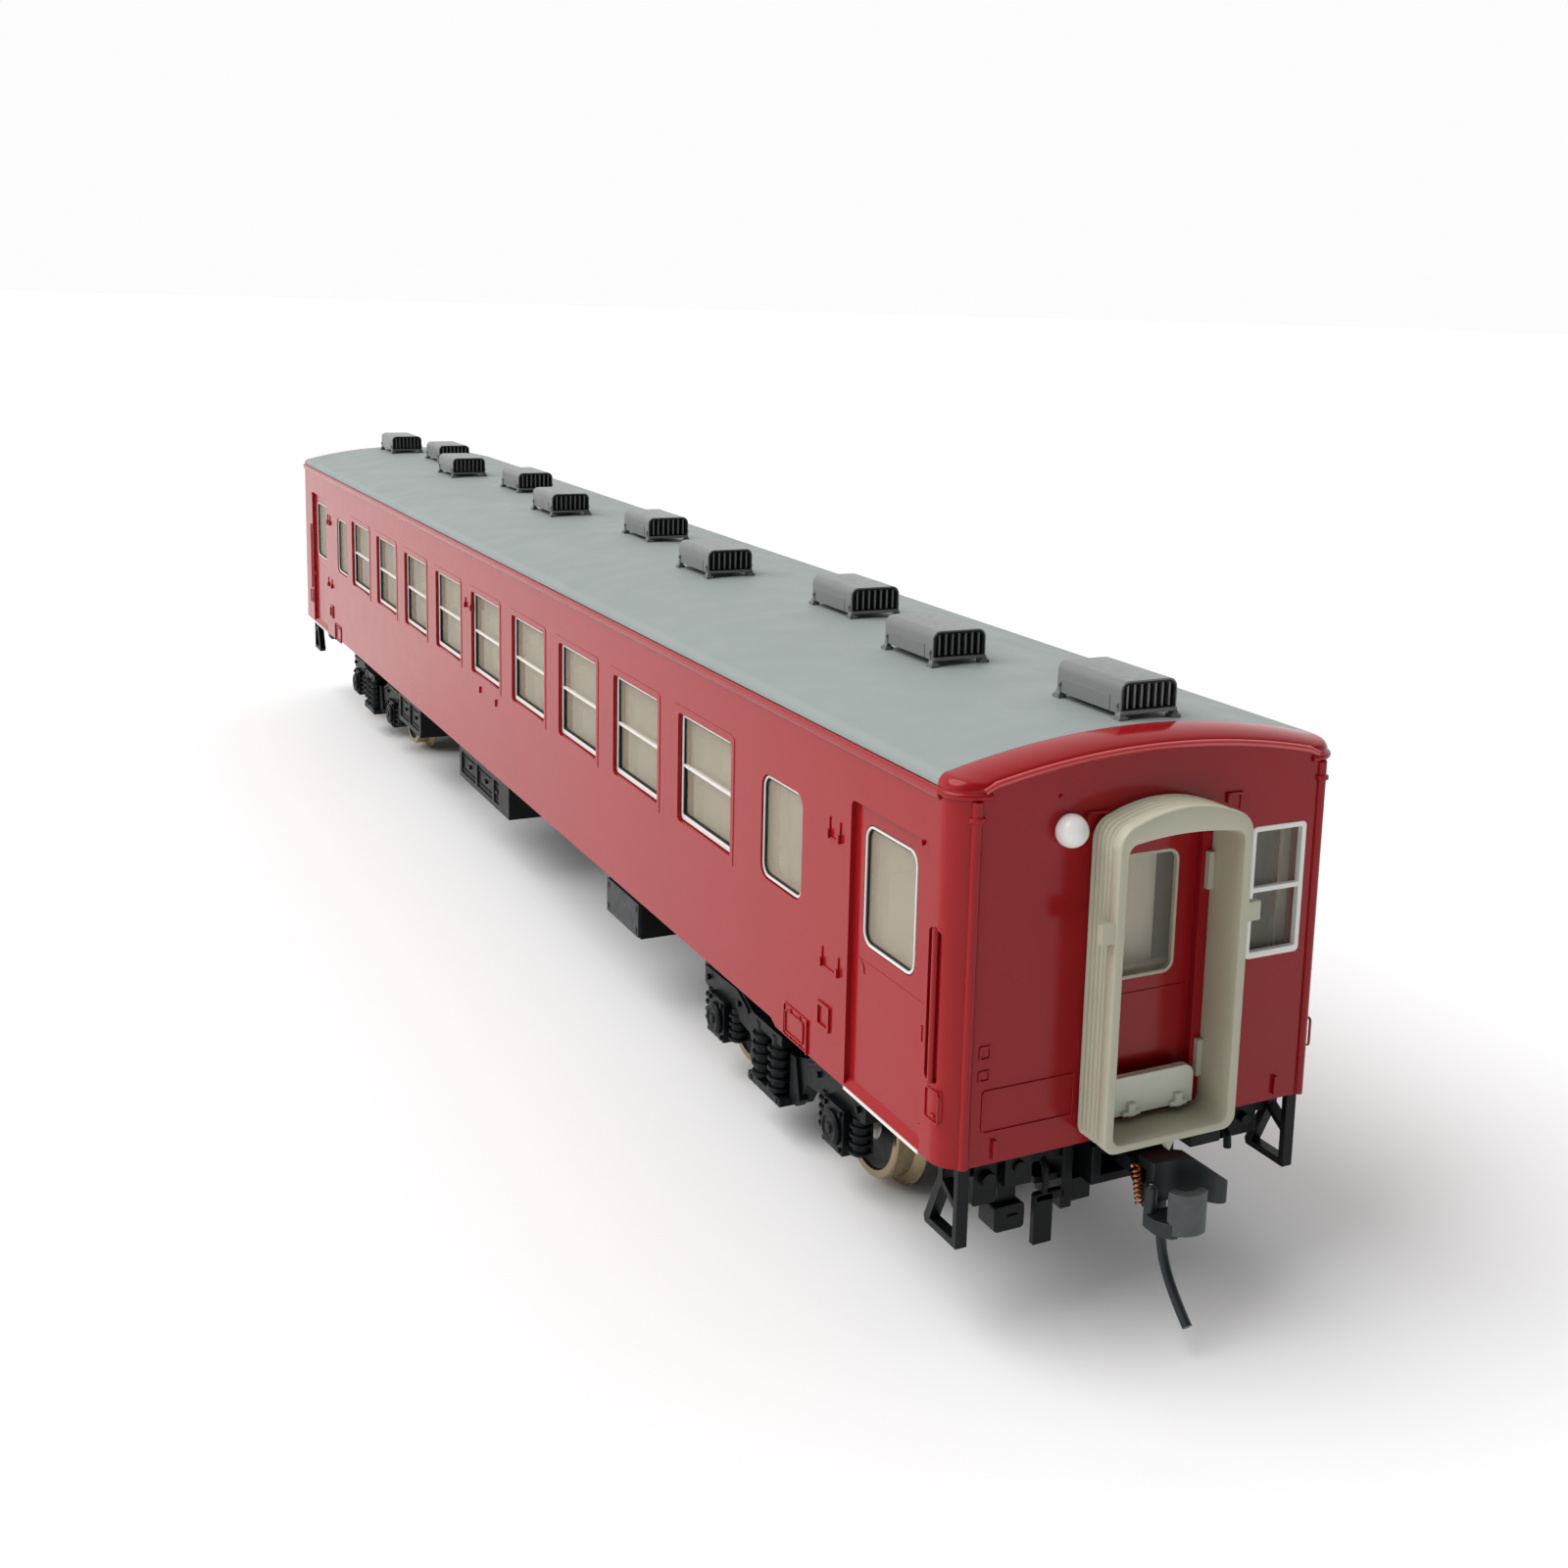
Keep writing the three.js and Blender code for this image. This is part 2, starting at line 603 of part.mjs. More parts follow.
// A step hung at one corner: two legs, a brace and a tread, flat bars in the x-z plane.
function cornerStep(side) {
  const bar = 0.6;
  const top = -0.1;
  const tread = -6.5;
  const outer = outline([
    [121.5, top], [120.9, top], [120.9, -2.9], [119.2, -1.9], [119.2, top], [118.5, top],
    [118.5, -1.9], [116.6, -6], [116.8, tread], [121.5, tread],
  ]);
  const hole = outline([[120.9, -3.5], [119.1, -2.4], [117.5, tread + bar], [120.9, tread + bar]]);
  outer.holes.push(hole);
  return prismY(outer, span(side, 15, 16));
}

const SIDE_BOXES = {
  battery_box: { x: [42.7, 53], side: -1, near: 8, far: 15.5, bottom: -5.8, panels: [[43.6, 52.1]] },
  equipment_box: {
    x: [-20.5, 3.8], side: -1, near: 8, far: 15.2, bottom: -6.2, panels: [[-19.4, -4.2], [-3.2, -1]],
  },
  control_box: { x: [-58, -44], side: -1, near: 8, far: 15, bottom: -6.4, panels: [[-57, -45]] },
  water_tank: { x: [34, 54], side: 1, near: 8.5, far: 15.2, bottom: -6, panels: [[35, 43.6], [44.4, 53]] },
};

// A box hung under the side sill, with recessed panels in its face.
function sideBox({ x, side, near, far, bottom, panels }) {
  const top = SILL.low - GAP;
  const shell = box(x, span(side, near, far), [bottom, top]);
  const recesses = panels.map((panel) => {
    return box(panel, span(side, far - 0.3, far + 1), [bottom + 0.8, top - 0.7]);
  });
  return cut(shell, recesses);
}

function airTank() {
  const length = 22;
  const radius = 2.9;
  const profile = [[0, -length / 2], [radius * 0.7, -length / 2 + 0.5], [radius, -length / 2 + 1.6]];
  profile.push([radius, length / 2 - 1.6], [radius * 0.7, length / 2 - 0.5], [0, length / 2]);
  const points = profile.map(([r, h]) => new THREE.Vector2(r, h));
  const geometry = new THREE.LatheGeometry(points, 12);
  geometry.rotateZ(-Math.PI / 2);
  geometry.translate(-8, 9, -4.7);
  const saddles = [-15, -3].map((x) => box([x - 0.5, x + 0.5], [7.4, 10.6], [-4, FLOOR.low - GAP]));
  return union([toSolid(geometry), ...saddles]);
}

function brakeCylinder() {
  const body = rod("x", 2.2, [-58, -50], [6, -3.2], 16);
  const cover = rod("x", 2.7, [-50.5, -49.6], [6, -3.2], 16);
  const pushRod = rod("x", 0.5, [-50, -42], [6, -3.2], 8);
  const foot = box([-57, -51], [4.8, 7.2], [-2.4, 0]);
  return union([body, cover, pushRod, foot]);
}

function couplerBox() {
  const { back, front, halfWidth, low, high } = COUPLER_BOX;
  const middle = (SHANK.low + SHANK.high) / 2;
  const pocket = [middle - 0.85, middle + 0.85];
  const solid = box([back, front], [-halfWidth, halfWidth], [low, high]);
  const hollow = box([back + 0.8, front + 1], [-halfWidth + 0.9, halfWidth - 0.9], pocket);
  const post = rod("z", 0.7, [pocket[0] - 0.2, pocket[1] + 0.2], [SHANK.pivotX, 0], 10);
  return solid.subtract(hollow).add(post);
}

// Head, guard arm and shank in one piece. The arm's wing slopes down to its tip.
function couplerHead() {
  const { low, high, halfWidth, pivotX } = SHANK;
  const eye = rod("z", 1.9, [low, high], [pivotX, 0], 16);
  const shank = box([pivotX, 124.6], [-halfWidth, halfWidth], [low, high]);
  const head = outline([
    [123.4, -1.1], [124.4, -1.1], [125.2, -0.9], [125.3, 0.2], [125.6, 1.3], [126.2, 2.3],
    [127.2, 3.3], [127.6, 4], [127.3, 4.5], [126.3, 4.4], [124.7, 3.1], [123.9, 1.9], [123.4, 1.1],
  ]);
  const slope = outline([[2.2, -1], [5, -3], [5, 0], [2.2, 0]]);
  const arm = prismZ(head, [-4.3, -1.1]).subtract(prismX(slope, [123, 129]));
  const column = box([123.8, 125], [-0.9, 0.6], [-5.2, -4.2]);
  const bore = rod("z", 0.9, [low - 1, high + 1], [pivotX, 0], 12);
  return union([eye, shank, arm, column]).subtract(bore);
}

// The hook that turns on the head: a drum on the pivot, a low arm and foot, and a nose across the mouth.
function knuckle() {
  const [x, y] = KNUCKLE_PIVOT;
  const drum = rod("z", 0.5, [-5.8, -2.4], [x, y], 12);
  const foot = outline([
    [x - 0.1, y - 0.5], [x + 1.3, y - 0.5], [x + 2.5, y + 0.2], [x + 2.6, y + 0.8], [x + 1.1, y + 1.1],
    [x + 0.9, y + 2.1], [x - 0.1, y + 2.1],
  ]);
  const nose = outline([
    [x + 1.9, y + 0.1], [x + 2.6, y + 0.3], [x + 3.1, y + 1.1], [x + 3.3, y + 2], [x + 3.1, y + 2.9],
    [x + 2.6, y + 3.1], [x + 2.3, y + 2.7], [x + 2.5, y + 1.9], [x + 2.2, y + 1.1], [x + 1.6, y + 0.8],
  ]);
  return union([drum, prismZ(foot, [-5.8, -4.6]), prismZ(nose, [-5.5, -2.1])]);
}

// A bent wire that hangs from the knuckle's foot.
function tripPin() {
  const path = new THREE.CatmullRomCurve3([
    new THREE.Vector3(126.1, -0.7, -6.1),
    new THREE.Vector3(126.4, -0.7, -7.4),
    new THREE.Vector3(127.1, -0.7, -8.9),
    new THREE.Vector3(128.2, -0.7, -10.3),
    new THREE.Vector3(130, -0.7, -12),
  ]);
  const corners = [0, 60, 120, 180, 240, 300].map((angle) => THREE.MathUtils.degToRad(angle));
  const section = outline(corners.map((a) => [0.4 * Math.cos(a), -0.4 * Math.sin(a)]));
  const wire = new THREE.ExtrudeGeometry(section, { extrudePath: path, steps: 8 });
  return toSolid(wire);
}

// A coil along a slanted line beside the head.
function knuckleSpring() {
  const turns = 4;
  const perTurn = 6;
  const start = new THREE.Vector3(124.1, -1.85, -1.6);
  const end = new THREE.Vector3(124.6, -1.65, -4.4);
  const along = end.clone().sub(start);
  const across = new THREE.Vector3(0, 1, 0).cross(along).normalize();
  const third = along.clone().normalize().cross(across);
  const points = [];
  for (let i = 0; i <= turns * perTurn; i += 1) {
    const angle = (i / perTurn) * Math.PI * 2;
    const point = start.clone().addScaledVector(along, i / (turns * perTurn));
    point.addScaledVector(across, 0.3 * Math.cos(angle));
    point.addScaledVector(third, 0.3 * Math.sin(angle));
    points.push(point);
  }
  const section = outline([[0.14, 0], [0, 0.14], [-0.14, 0], [0, -0.14]]);
  const path = new THREE.CatmullRomCurve3(points);
  return toSolid(new THREE.ExtrudeGeometry(section, { extrudePath: path, steps: turns * perTurn }));
}

// ---------- bogies ----------

function sideFrame(side) {
  const { inner, outer } = SIDE_FRAME;
  const axle = WHEELBASE / 2;
  const half = [
    [4.6, 4.4], [6.4, 7], [9.8, 7.4], [9.8, 4.6], [10.6, 4.6], [10.6, 8], [15.6, 8], [15.6, 4.6],
    [16.4, 4.6], [16.4, 7.8], [17.8, 8.2], [17.8, 10.6], [9.4, 10.9], [6.4, 9.6], [4.6, 9],
  ];
  const mirrored = half.map(([x, z]) => [-x, z]).reverse();
  const plate = prismY(outline([...half, ...mirrored]), span(side, inner, outer));
  const pieces = [plate];
  for (const x of [-axle, axle]) {
    pieces.push(box([x - 1.9, x + 1.9], span(side, inner, outer + 0.7), [AXLE_Z - 2, AXLE_Z + 2.2]));
    pieces.push(rod("y", 1.6, span(side, outer + 0.6, outer + 1.3), [x, AXLE_Z], 8));
  }
  for (const x of [-1.8, 1.8]) {
    pieces.push(rod("z", 1.3, [4.5, 10.2], [x, side * (outer + 0.5)], 6));
  }
  pieces.push(box([-3.6, 3.6], span(side, inner, outer + 1.4), [3.9, 4.7]));
  pieces.push(box([-3.4, 3.4], span(side, inner, outer + 1.2), [9.6, 10.6]));
  return union(pieces);
}

// Side frames, bolster, brake hangers and shoes in one moulding. Centred on x = 0, y = 0.
function bogieFrame() {
  const { low, high, halfLength } = BOLSTER;
  const bolster = box([-halfLength, halfLength], [-12, 12], [low, high]);
  let frame = union([bolster, ...bothSides(sideFrame)]);
  for (const side of [-1, 1]) {
    for (const end of [-1, 1]) {
      const arm = end < 0 ? [-6.2, -halfLength + 0.2] : [halfLength - 0.2, 6.2];
      const shoe = end < 0 ? [-6.6, -5.5] : [5.5, 6.6];
      frame = frame.add(box(arm, span(side, 7.9, 9.3), [low, high - 0.4]));
      frame = frame.add(box(shoe, span(side, 7.7, 9.5), [5, high - 0.4]));
    }
    for (const x of [-WHEELBASE / 2, WHEELBASE / 2]) {
      const bore = span(side, SIDE_FRAME.inner - 1, JOURNAL.end + 0.3);
      frame = frame.subtract(rod("y", JOURNAL.bore, bore, [x, AXLE_Z], 8));
    }
  }
  return frame.subtract(rod("z", BOLSTER_HOLE, [low - 1, high + 1], [0, 0], 12));
}

function axle(x) {
  const shoulder = JOURNAL.end - 1.6;
  const profile = [
    [0, -JOURNAL.end], [JOURNAL.radius, -JOURNAL.end + 0.5], [JOURNAL.radius, -shoulder],
    [AXLE_RADIUS, -shoulder], [AXLE_RADIUS, shoulder], [JOURNAL.radius, shoulder],
    [JOURNAL.radius, JOURNAL.end - 0.5], [0, JOURNAL.end],
  ];
  return turnedY(profile, [x, AXLE_Z], 10);
}

// A flanged wheel with a dished web. Its flange faces the middle of the axle.
function wheel(x, side) {
  const back = BACK_TO_BACK / 2;
  const face = back + WHEEL_WIDTH;
  const bore = AXLE_RADIUS + 0.1;
  const flange = WHEEL_RADIUS + FLANGE_DEPTH;
  const profile = [
    [bore, back], [flange, back], [flange, back + 0.4], [WHEEL_RADIUS, back + 0.9],
    [WHEEL_RADIUS, face], [WHEEL_RADIUS - 0.8, face], [1.8, face - 0.5], [bore, face - 0.2],
  ];
  const sided = profile.map(([radius, y]) => [radius, side * y]);
  return turnedY(side < 0 ? sided.reverse() : sided, [x, AXLE_Z], 18);
}

function bogieScrew() {
  const head = rod("z", SCREW.headRadius, [BOLSTER.low - GAP - SCREW.head, BOLSTER.low - GAP], [0, 0], 16);
  const shank = rod("z", SCREW.radius, [BOLSTER.low - GAP - 0.2, BODY_BOTTOM + FLOOR.high], [0, 0], 12);
  const slotZ = [BOLSTER.low - GAP - SCREW.head - 1, BOLSTER.low - GAP - SCREW.head + 0.35];
  return head.add(shank).subtract(box([-3, 3], [-0.3, 0.3], slotZ));
}

// ---------- inside ----------

function ballastWeight() {
  const plate = box([-62, 62], [-11, 11], [FLOOR.high + GAP, FLOOR.high + GAP + 1.6]);
  return cut(plate, [-50, 50].map((x) => rod("z", 1.5, [0, 9], [x, 0], 12)));
}

// Floor, benches back to back either side of the aisle, and a partition towards each end.
function interior() {
  const floorLow = FLOOR.high + 2 * GAP + 1.6;
  const floorHigh = floorLow + 0.8;
  const pieces = [box([-116, 116], [-14.4, 14.4], [floorLow, floorHigh])];
  for (let i = 0; i < WINDOW_COUNT - 1; i += 1) {
    const x = WINDOW.centre - (i + 0.5) * WINDOW_PITCH;
    const bench = outline([
      [x - 5.6, floorHigh - 0.1], [x + 5.6, floorHigh - 0.1], [x + 5.6, 7.6], [x + 1, 7.6], [x + 1, 14.4],
      [x - 1, 14.4], [x - 1, 7.6], [x - 5.6, 7.6],
    ]);
    pieces.push(...bothSides((side) => prismY(bench, span(side, 4.2, 14))));
  }
  for (const x of [-97.5, 86.5]) {
    pieces.push(box([x, x + 1], [-14, -4], [floorHigh - 0.1, 26]));
    pieces.push(box([x, x + 1], [4, 14], [floorHigh - 0.1, 26]));
    pieces.push(box([x, x + 1], [-14, 14], [24, 26]));
  }
  return union(pieces);
}

// ---------- the assembly ----------

const coach = new THREE.Group();
const body = new THREE.Group();
body.position.z = BODY_BOTTOM;
coach.add(body);

body.add(named("body_shell", bodyShell(), RED));
body.add(named("roof", roof(), GREY));
VENTILATORS.forEach((x, i) => {
  const y = i % 2 === 0 ? VENTILATOR.y : -VENTILATOR.y;
  const number = String(i + 1).padStart(2, "0");
  const mesh = named(`ventilator_${number}`, ventilator(y), VENT_GREY);
  mesh.position.set(x, y, 0);
  body.add(mesh);
});
body.add(named("side_glazing_left", sideGlazing(-1), GLASS));
body.add(named("side_glazing_right", sideGlazing(1), GLASS));
body.add(named("underframe", underframe(), BLACK));
body.add(named("ballast_weight", ballastWeight(), STEEL));
body.add(named("interior", interior(), CREAM));
for (const [name, shape] of Object.entries(SIDE_BOXES)) {
  body.add(named(name, sideBox(shape), BLACK));
}
body.add(named("air_tank", airTank(), BLACK));
body.add(named("brake_cylinder", brakeCylinder(), BLACK));

for (const [place, turn] of [["front", 0], ["rear", Math.PI]]) {
  const end = new THREE.Group();
  end.rotation.z = turn;
  body.add(end);
  end.add(named(`gangway_${place}`, gangway(), PALE_GREY));
  end.add(named(`footplate_${place}`, footplate(), PALE_GREY));
  end.add(named(`end_glazing_${place}`, endGlazing(), GLASS));
  end.add(named(`step_${place}_left`, cornerStep(-1), BLACK));
  end.add(named(`step_${place}_right`, cornerStep(1), BLACK));
  end.add(named(`coupler_box_${place}`, couplerBox(), BLACK));
  end.add(named(`coupler_head_${place}`, couplerHead(), COUPLER_GREY));
  end.add(named(`knuckle_${place}`, knuckle(), COUPLER_GREY));
  end.add(named(`trip_pin_${place}`, tripPin(), COUPLER_GREY));
  end.add(named(`knuckle_spring_${place}`, knuckleSpring(), COPPER));
  if (place === "front") {
    end.add(named("marker_lens", markerLens(), WHITE));
  }

  const bogie = new THREE.Group();
  bogie.position.x = Math.cos(turn) * BOGIE_CENTRES / 2;
  bogie.rotation.z = turn;
  coach.add(bogie);
  bogie.add(named(`bogie_frame_${place}`, bogieFrame(), BLACK));
  bogie.add(named(`bogie_screw_${place}`, bogieScrew(), STEEL));
  for (const [which, x] of [["outer", WHEELBASE / 2], ["inner", -WHEELBASE / 2]]) {
    bogie.add(named(`axle_${place}_${which}`, axle(x), STEEL));
    bogie.add(named(`wheel_${place}_${which}_left`, wheel(x, -1), NICKEL));
    bogie.add(named(`wheel_${place}_${which}_right`, wheel(x, 1), NICKEL));
  }
}

export default coach;
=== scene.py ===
"""The looks of the model passenger coach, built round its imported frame.

Blender works in metres. The shapes below are drawn in millimetres and scaled by MM as they become meshes.
+X runs along the coach towards its front end, +Y across it, +Z up. What rides on the body is drawn from the
body's bottom edge, and each end is drawn as if it faced +X, then turned half round for the rear.
"""
import math
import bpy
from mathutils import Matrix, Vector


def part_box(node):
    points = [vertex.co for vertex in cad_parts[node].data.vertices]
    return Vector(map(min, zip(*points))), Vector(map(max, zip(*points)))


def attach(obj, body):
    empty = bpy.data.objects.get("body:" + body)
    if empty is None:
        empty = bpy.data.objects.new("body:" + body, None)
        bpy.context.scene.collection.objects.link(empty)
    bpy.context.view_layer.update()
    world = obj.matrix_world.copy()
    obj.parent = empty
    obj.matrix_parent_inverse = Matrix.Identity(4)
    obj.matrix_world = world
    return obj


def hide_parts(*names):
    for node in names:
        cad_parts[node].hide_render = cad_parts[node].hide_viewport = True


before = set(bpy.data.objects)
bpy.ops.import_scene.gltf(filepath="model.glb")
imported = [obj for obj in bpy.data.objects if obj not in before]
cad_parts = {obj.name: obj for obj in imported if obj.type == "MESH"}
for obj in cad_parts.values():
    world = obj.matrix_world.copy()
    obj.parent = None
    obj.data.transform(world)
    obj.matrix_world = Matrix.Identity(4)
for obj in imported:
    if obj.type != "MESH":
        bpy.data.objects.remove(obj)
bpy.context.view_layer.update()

from types import SimpleNamespace as Sizes

import bmesh
import bpy
from mathutils import Matrix, Vector

MM = 0.001


def add_object(name, data):
    obj = bpy.data.objects.new(name, data)
    bpy.context.scene.collection.objects.link(obj)
    return obj


# ---------- camera ----------

SENSOR = 36.0
CAMERA_AT = (227.513, -80.379, 77.517)
CAMERA_TURN = (80.0668, -1.8791, 61.7294)
LENS = 41.5588
SHIFT = (-0.0729, -0.1099)

camera_data = bpy.data.cameras.new("camera")
camera = add_object("camera", camera_data)
camera.location = Vector(CAMERA_AT) * MM
camera.rotation_euler = [math.radians(angle) for angle in CAMERA_TURN]
camera_data.sensor_width = SENSOR
camera_data.lens = LENS
camera_data.shift_x, camera_data.shift_y = SHIFT
camera_data.clip_start = 0.005
bpy.context.scene.camera = camera

# ---------- driving dimensions, mm ----------

BODY_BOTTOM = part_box("body_shell")[0][2] / MM
END_X = 121.875
SIDE_Y = 17.5
WALL = 1.8
END_WALL = 1.5
EAVE = 28.5
CROWN = 31.6
END_CROWN = 30.63
ROOF_RADIUS = 67.6
CORNER_RADIUS = 2.3
DOME_LENGTH = 2.975
ROOF_END = END_X - DOME_LENGTH
EAVE_ROUND = 0.9
SKIRT = Sizes(end=92.4, rise=0.5, slope=1.1)

WINDOW_PITCH = 18.51
WINDOWS = [75.2 - WINDOW_PITCH * i for i in range(9)]
WINDOW = Sizes(width=12.95, low=12.15, high=22.87, corner=0.5, set_back=0.42, bars=(0.26, 0.5, 0.36), steps=5)
PORT_BARS = (0.2, 0.24, 0.2)
# The gap between a window's hole and its frame; a dark ring of painted shade fills it.
FRAME_GAP = 0.1
SASH_RAIL = (WINDOW.low + WINDOW.high) / 2
SMALL_WINDOWS = [92.65, -87.05]
SMALL_WINDOW = Sizes(width=8.3, low=12.6, high=21.95, corner=1.3, set_back=0.15, bars=PORT_BARS, steps=7)
DOORS = [111.85, -107.1]
DOOR = Sizes(width=12.5, low=0.3, high=24.0, recess=0.5)
DOOR_WINDOW = Sizes(shift=-0.35, width=8.5, low=12.6, high=22.6, corner=1.3, set_back=DOOR.recess - 0.06,
                    bars=PORT_BARS, steps=7)
HANDRAIL_SLOT = Sizes(shift=7.5, width=1.7, low=6.2, high=17.9, depth=0.7)
END_DOOR = Sizes(half=4.4, low=0.8, high=25.0, recess=0.8)
DOOR_FLOOR = END_X - END_DOOR.recess
END_DOOR_WINDOW = Sizes(width=5.7, low=12.2, high=22.2, corner=1.0)
END_WINDOW = Sizes(y=11.88, width=5.28, low=12.47, high=23.16, corner=0.35)
END_RAIL = (END_WINDOW.low + END_WINDOW.high) / 2 + 0.2
PIPE = Sizes(y=15.8, inset=0.12, radius=0.42, collar=26.4, top=27.9)
GANGWAY = Sizes(depth=3.9, half=6.1, bellows=5.95, low=0.7, high=26.95, arch=0.85)
PASSAGE = Sizes(half=5.3, low=1.35, high=24.92, arch=0.35)
FOOTPLATE = Sizes(half=4.2, thickness=0.7, hinge=2.3, top=5.1)
HINGE_X = END_X + 0.55
BOGIE_CENTRE = 83.125
HALF_WHEELBASE = 13.125
WHEEL_RADIUS = 5.25
FLANGE = 0.9
AXLE_Z = WHEEL_RADIUS + FLANGE

SIDES = {"left": -1, "right": 1}
ENDS = {"front": 0.0, "rear": math.pi}

# ---------- shapes: lists of points and faces ----------


def merge(*solids):
    points, faces = [], []
    for solid_points, solid_faces in solids:
        base = len(points)
        points += solid_points
        faces += [[base + i for i in face] for face in solid_faces]
    return points, faces


def block(x, y, z):
    points = [(a, b, c) for a in x for b in y for c in z]
    return points, [(0, 1, 3, 2), (4, 6, 7, 5), (0, 4, 5, 1), (2, 3, 7, 6), (0, 2, 6, 4), (1, 5, 7, 3)]


def placed(axis, a, b, along):
    """A point drawn at (a, b) across an axis, and along it."""
    return {"x": (along, a, b), "y": (a, along, b), "z": (a, b, along)}[axis]


def loft(outlines):
    """A solid through outlines with as many points as each other, closed at both ends."""
    count = len(outlines[0])
    points = [point for outline in outlines for point in outline]
    faces = [list(range(count)), list(range(len(points) - count, len(points)))]
    for start in range(0, len(points) - count, count):
        for i in range(count):
            a, b = start + i, start + (i + 1) % count
            faces.append((a, b, b + count, a + count))
    return points, faces


def prism(axis, outline, ends):
    return loft([[placed(axis, a, b, end) for a, b in outline] for end in ends])


def ring(axis, outer, inner, ends):
    """A prism with a hole, from two outlines with as many points as each other."""
    return shell_of([(end, outer, inner) for end in ends], axis)


def shell_of(sections, axis="x"):
    """A tube through sections of (place, outer outline, inner outline), closed at both ends."""
    count = len(sections[0][1])
    points = []
    for place, outer, inner in sections:
        points += [placed(axis, a, b, place) for a, b in outer]
        points += [placed(axis, a, b, place) for a, b in inner]
    faces = []
    last = 2 * count * (len(sections) - 1)
    for i in range(count):
        j = (i + 1) % count
        for s in range(len(sections) - 1):
            a, b = 2 * count * s, 2 * count * (s + 1)
            faces.append((a + i, a + j, b + j, b + i))
            faces.append((a + count + i, b + count + i, b + count + j, a + count + j))
        faces.append((i, count + i, count + j, j))
        faces.append((last + i, last + j, last + count + j, last + count + i))
    return points, faces


def turned(axis, profile, centre, sides=32):
    """A solid of revolution about an axis, from (radius, place along the axis) pairs."""
    points, faces = [], []
    count = len(profile)
    for i in range(sides):
        angle = 2 * math.pi * i / sides
        for radius, along in profile:
            a = centre[0] + radius * math.cos(angle)
            b = centre[1] + radius * math.sin(angle)
            points.append(placed(axis, a, b, along))
    for i in range(sides):
        j = (i + 1) % sides
        for k in range(count - 1):
            faces.append((i * count + k, j * count + k, j * count + k + 1, i * count + k + 1))
        if profile[0][0] > 0:
            faces.append((i * count, i * count + count - 1, j * count + count - 1, j * count))
    return points, faces


def rod(axis, radius, ends, centre, sides=20):
    return turned(axis, [(0, ends[0]), (radius, ends[0]), (radius, ends[1]), (0, ends[1])], centre, sides)


def sweep(path, radius, sides=10):
    """A round wire along a path of points."""
    path = [Vector(point) for point in path]
    outlines = []
    across = None
    for i, point in enumerate(path):
        ahead = path[min(i + 1, len(path) - 1)] - path[max(i - 1, 0)]
        ahead.normalize()
        if across is None:
            across = ahead.orthogonal().normalized()
        across = (across - ahead * across.dot(ahead)).normalized()
        third = ahead.cross(across)
        angles = [2 * math.pi * k / sides for k in range(sides)]
        outlines.append([tuple(point + radius * (math.cos(angle) * across + math.sin(angle) * third))
                         for angle in angles])
    return loft(outlines)


def coil(start, end, radius, wire, turns, steps=16):
    start, end = Vector(start), Vector(end)
    along = end - start
    across = along.orthogonal().normalized()
    third = along.normalized().cross(across)
    path = []
    for i in range(turns * steps + 1):
        angle = 2 * math.pi * i / steps
        out = math.cos(angle) * across + math.sin(angle) * third
        path.append(start + along * (i / (turns * steps)) + radius * out)
    return sweep(path, wire, 8)


def arc(a, b, radius, first, sweep_angle=90, steps=5):
    """Points on an arc about (a, b), from its first angle, in degrees."""
    angles = [math.radians(first + sweep_angle * i / steps) for i in range(steps + 1)]
    return [(a + radius * math.cos(angle), b + radius * math.sin(angle)) for angle in angles]


def rounded_rect(centre, width, low, high, corner, steps=5):
    left, right = centre - width / 2, centre + width / 2
    corners = [(right - corner, low + corner, -90), (right - corner, high - corner, 0),
               (left + corner, high - corner, 90), (left + corner, low + corner, 180)]
    return [point for a, b, first in corners for point in arc(a, b, corner, first, 90, steps)]


def round_topped(centre, width, low, high, corner, steps=5):
    """A rectangle with its two top corners rounded."""
    half = width / 2
    return [(centre - half, low), (centre + half, low),
            *arc(centre + (half - corner), high - corner, corner, 0, 90, steps),
            *arc(centre - (half - corner), high - corner, corner, 90, 90, steps)]


def frame_outlines(centre, width, low, high, corner, bar, steps=5):
    """Outer and inner outlines of a frame whose bars are this wide: (left and right, bottom, top)."""
    side, bottom, top = bar
    outer = rounded_rect(centre, width, low, high, corner, steps)
    inner = rounded_rect(centre, width - 2 * side, low + bottom, high - top, max(corner - side, 0.12), steps)
    return outer, inner


def about(middle, half):
    return middle - half, middle + half


def span(side, near, far):
    return (near, far) if side > 0 else (-far, -near)


def mirrored(solid):
    return [(x, -y, z) for x, y, z in solid[0]], solid[1]


# ---------- meshes, materials and pieces ----------


def to_mesh(name, solid):
    points, faces = solid
    mesh = bpy.data.meshes.new(name)
    mesh.from_pydata([tuple(point) for point in points], [], [list(face) for face in faces])
    work = bmesh.new()
    work.from_mesh(mesh)
    bmesh.ops.remove_doubles(work, verts=work.verts, dist=1e-4)
    bmesh.ops.dissolve_degenerate(work, dist=1e-5, edges=work.edges)
    bmesh.ops.recalc_face_normals(work, faces=work.faces)
    work.to_mesh(mesh)
    work.free()
    return mesh


def from_mesh(mesh):
    return [tuple(v.co) for v in mesh.vertices], [list(p.vertices) for p in mesh.polygons]


